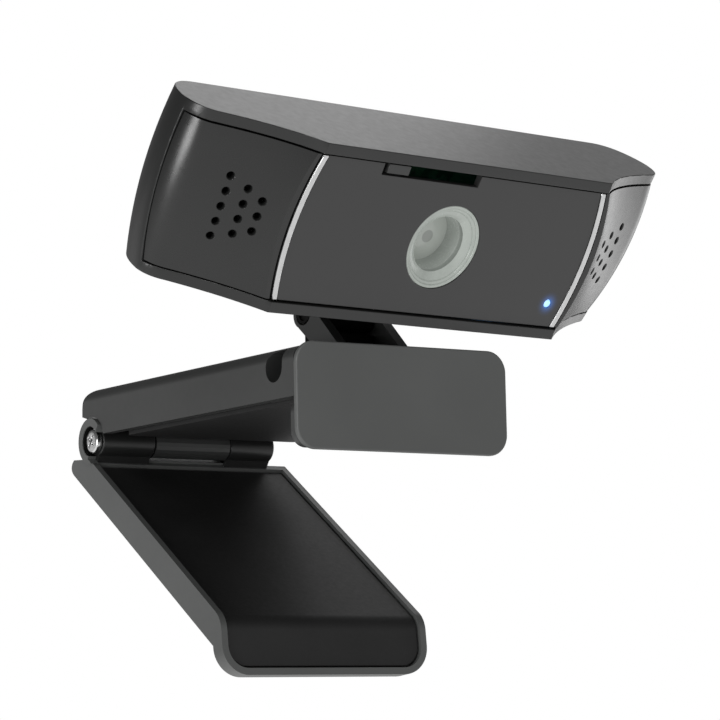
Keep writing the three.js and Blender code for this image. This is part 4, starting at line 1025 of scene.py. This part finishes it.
def world():
    """White behind the object; for every other ray bright below the horizon and dim above it."""
    studio = bpy.data.worlds.new("studio")
    bpy.context.scene.world = studio
    studio.use_nodes = True
    tree = studio.node_tree
    place = tree.nodes.new("ShaderNodeTexCoord").outputs["Generated"]
    split = tree.nodes.new("ShaderNodeSeparateXYZ")
    tree.links.new(place, split.inputs["Vector"])
    height = tree.nodes.new("ShaderNodeMapRange")
    height.inputs["From Min"].default_value = -1.0
    tree.links.new(split.outputs["Z"], height.inputs["Value"])
    ramp = tree.nodes.new("ShaderNodeValToRGB")
    ramp.color_ramp.interpolation = "EASE"
    ramp.color_ramp.elements[0].position, ramp.color_ramp.elements[0].color = 0.2, WORLD_BELOW
    ramp.color_ramp.elements[1].position, ramp.color_ramp.elements[1].color = 0.75, WORLD_ABOVE
    middle = ramp.color_ramp.elements.new(0.5)
    middle.color = WORLD_LEVEL
    tree.links.new(height.outputs["Result"], ramp.inputs["Fac"])
    seen = tree.nodes.new("ShaderNodeLightPath").outputs["Is Camera Ray"]
    tone = tree.nodes.new("ShaderNodeMix")
    tone.data_type = "RGBA"
    tone.inputs[7].default_value = (1.0, 1.0, 1.0, 1)
    tree.links.new(seen, tone.inputs["Factor"])
    tree.links.new(ramp.outputs["Color"], tone.inputs[6])
    tree.links.new(tone.outputs[2], tree.nodes["Background"].inputs["Color"])


WORLD_BELOW = (0.95, 0.95, 0.95, 1)
WORLD_LEVEL = (0.3, 0.3, 0.3, 1)
WORLD_ABOVE = (0.1, 0.1, 0.1, 1)


def stage():
    world()
    softbox("key", 216, 26, 0.9, (0.2, 0.2), 15.5)
    softbox("back_top", 51, 42, 0.6, (0.4, 0.3), 0.6, (-0.01, -0.02, 0.01))
    softbox("near_top", 47, 38, 0.2, (0.1, 0.12), 0.82, (-0.055, -0.03, 0.035))
    softbox("right", 80, -2, 0.8, (0.6, 0.5), 1.8)
    softbox("left_back", 327, 7, 0.25, (0.16, 0.12), 0.3, (-0.019, 0.01, -0.02))
    softbox("left_strip", 252, -12, 0.5, (0.24, 0.18), 11.0, (-0.045, -0.044, 0.035))
    softbox("front", 145, 15, 0.8, (0.7, 0.4), 0.34)
    bpy.context.scene.view_settings.view_transform = "Standard"


camera()
stage()
head_shell()
back_cover()
grille_panel(1)
grille_panel(-1)
front_face()
optics()
light()
neck()
tilt_lug()
upper_arm()
front_plate()
tray()
hinge_barrels()
tray_pad()
tray_underside()
hinge_pin()
dress_nodes()
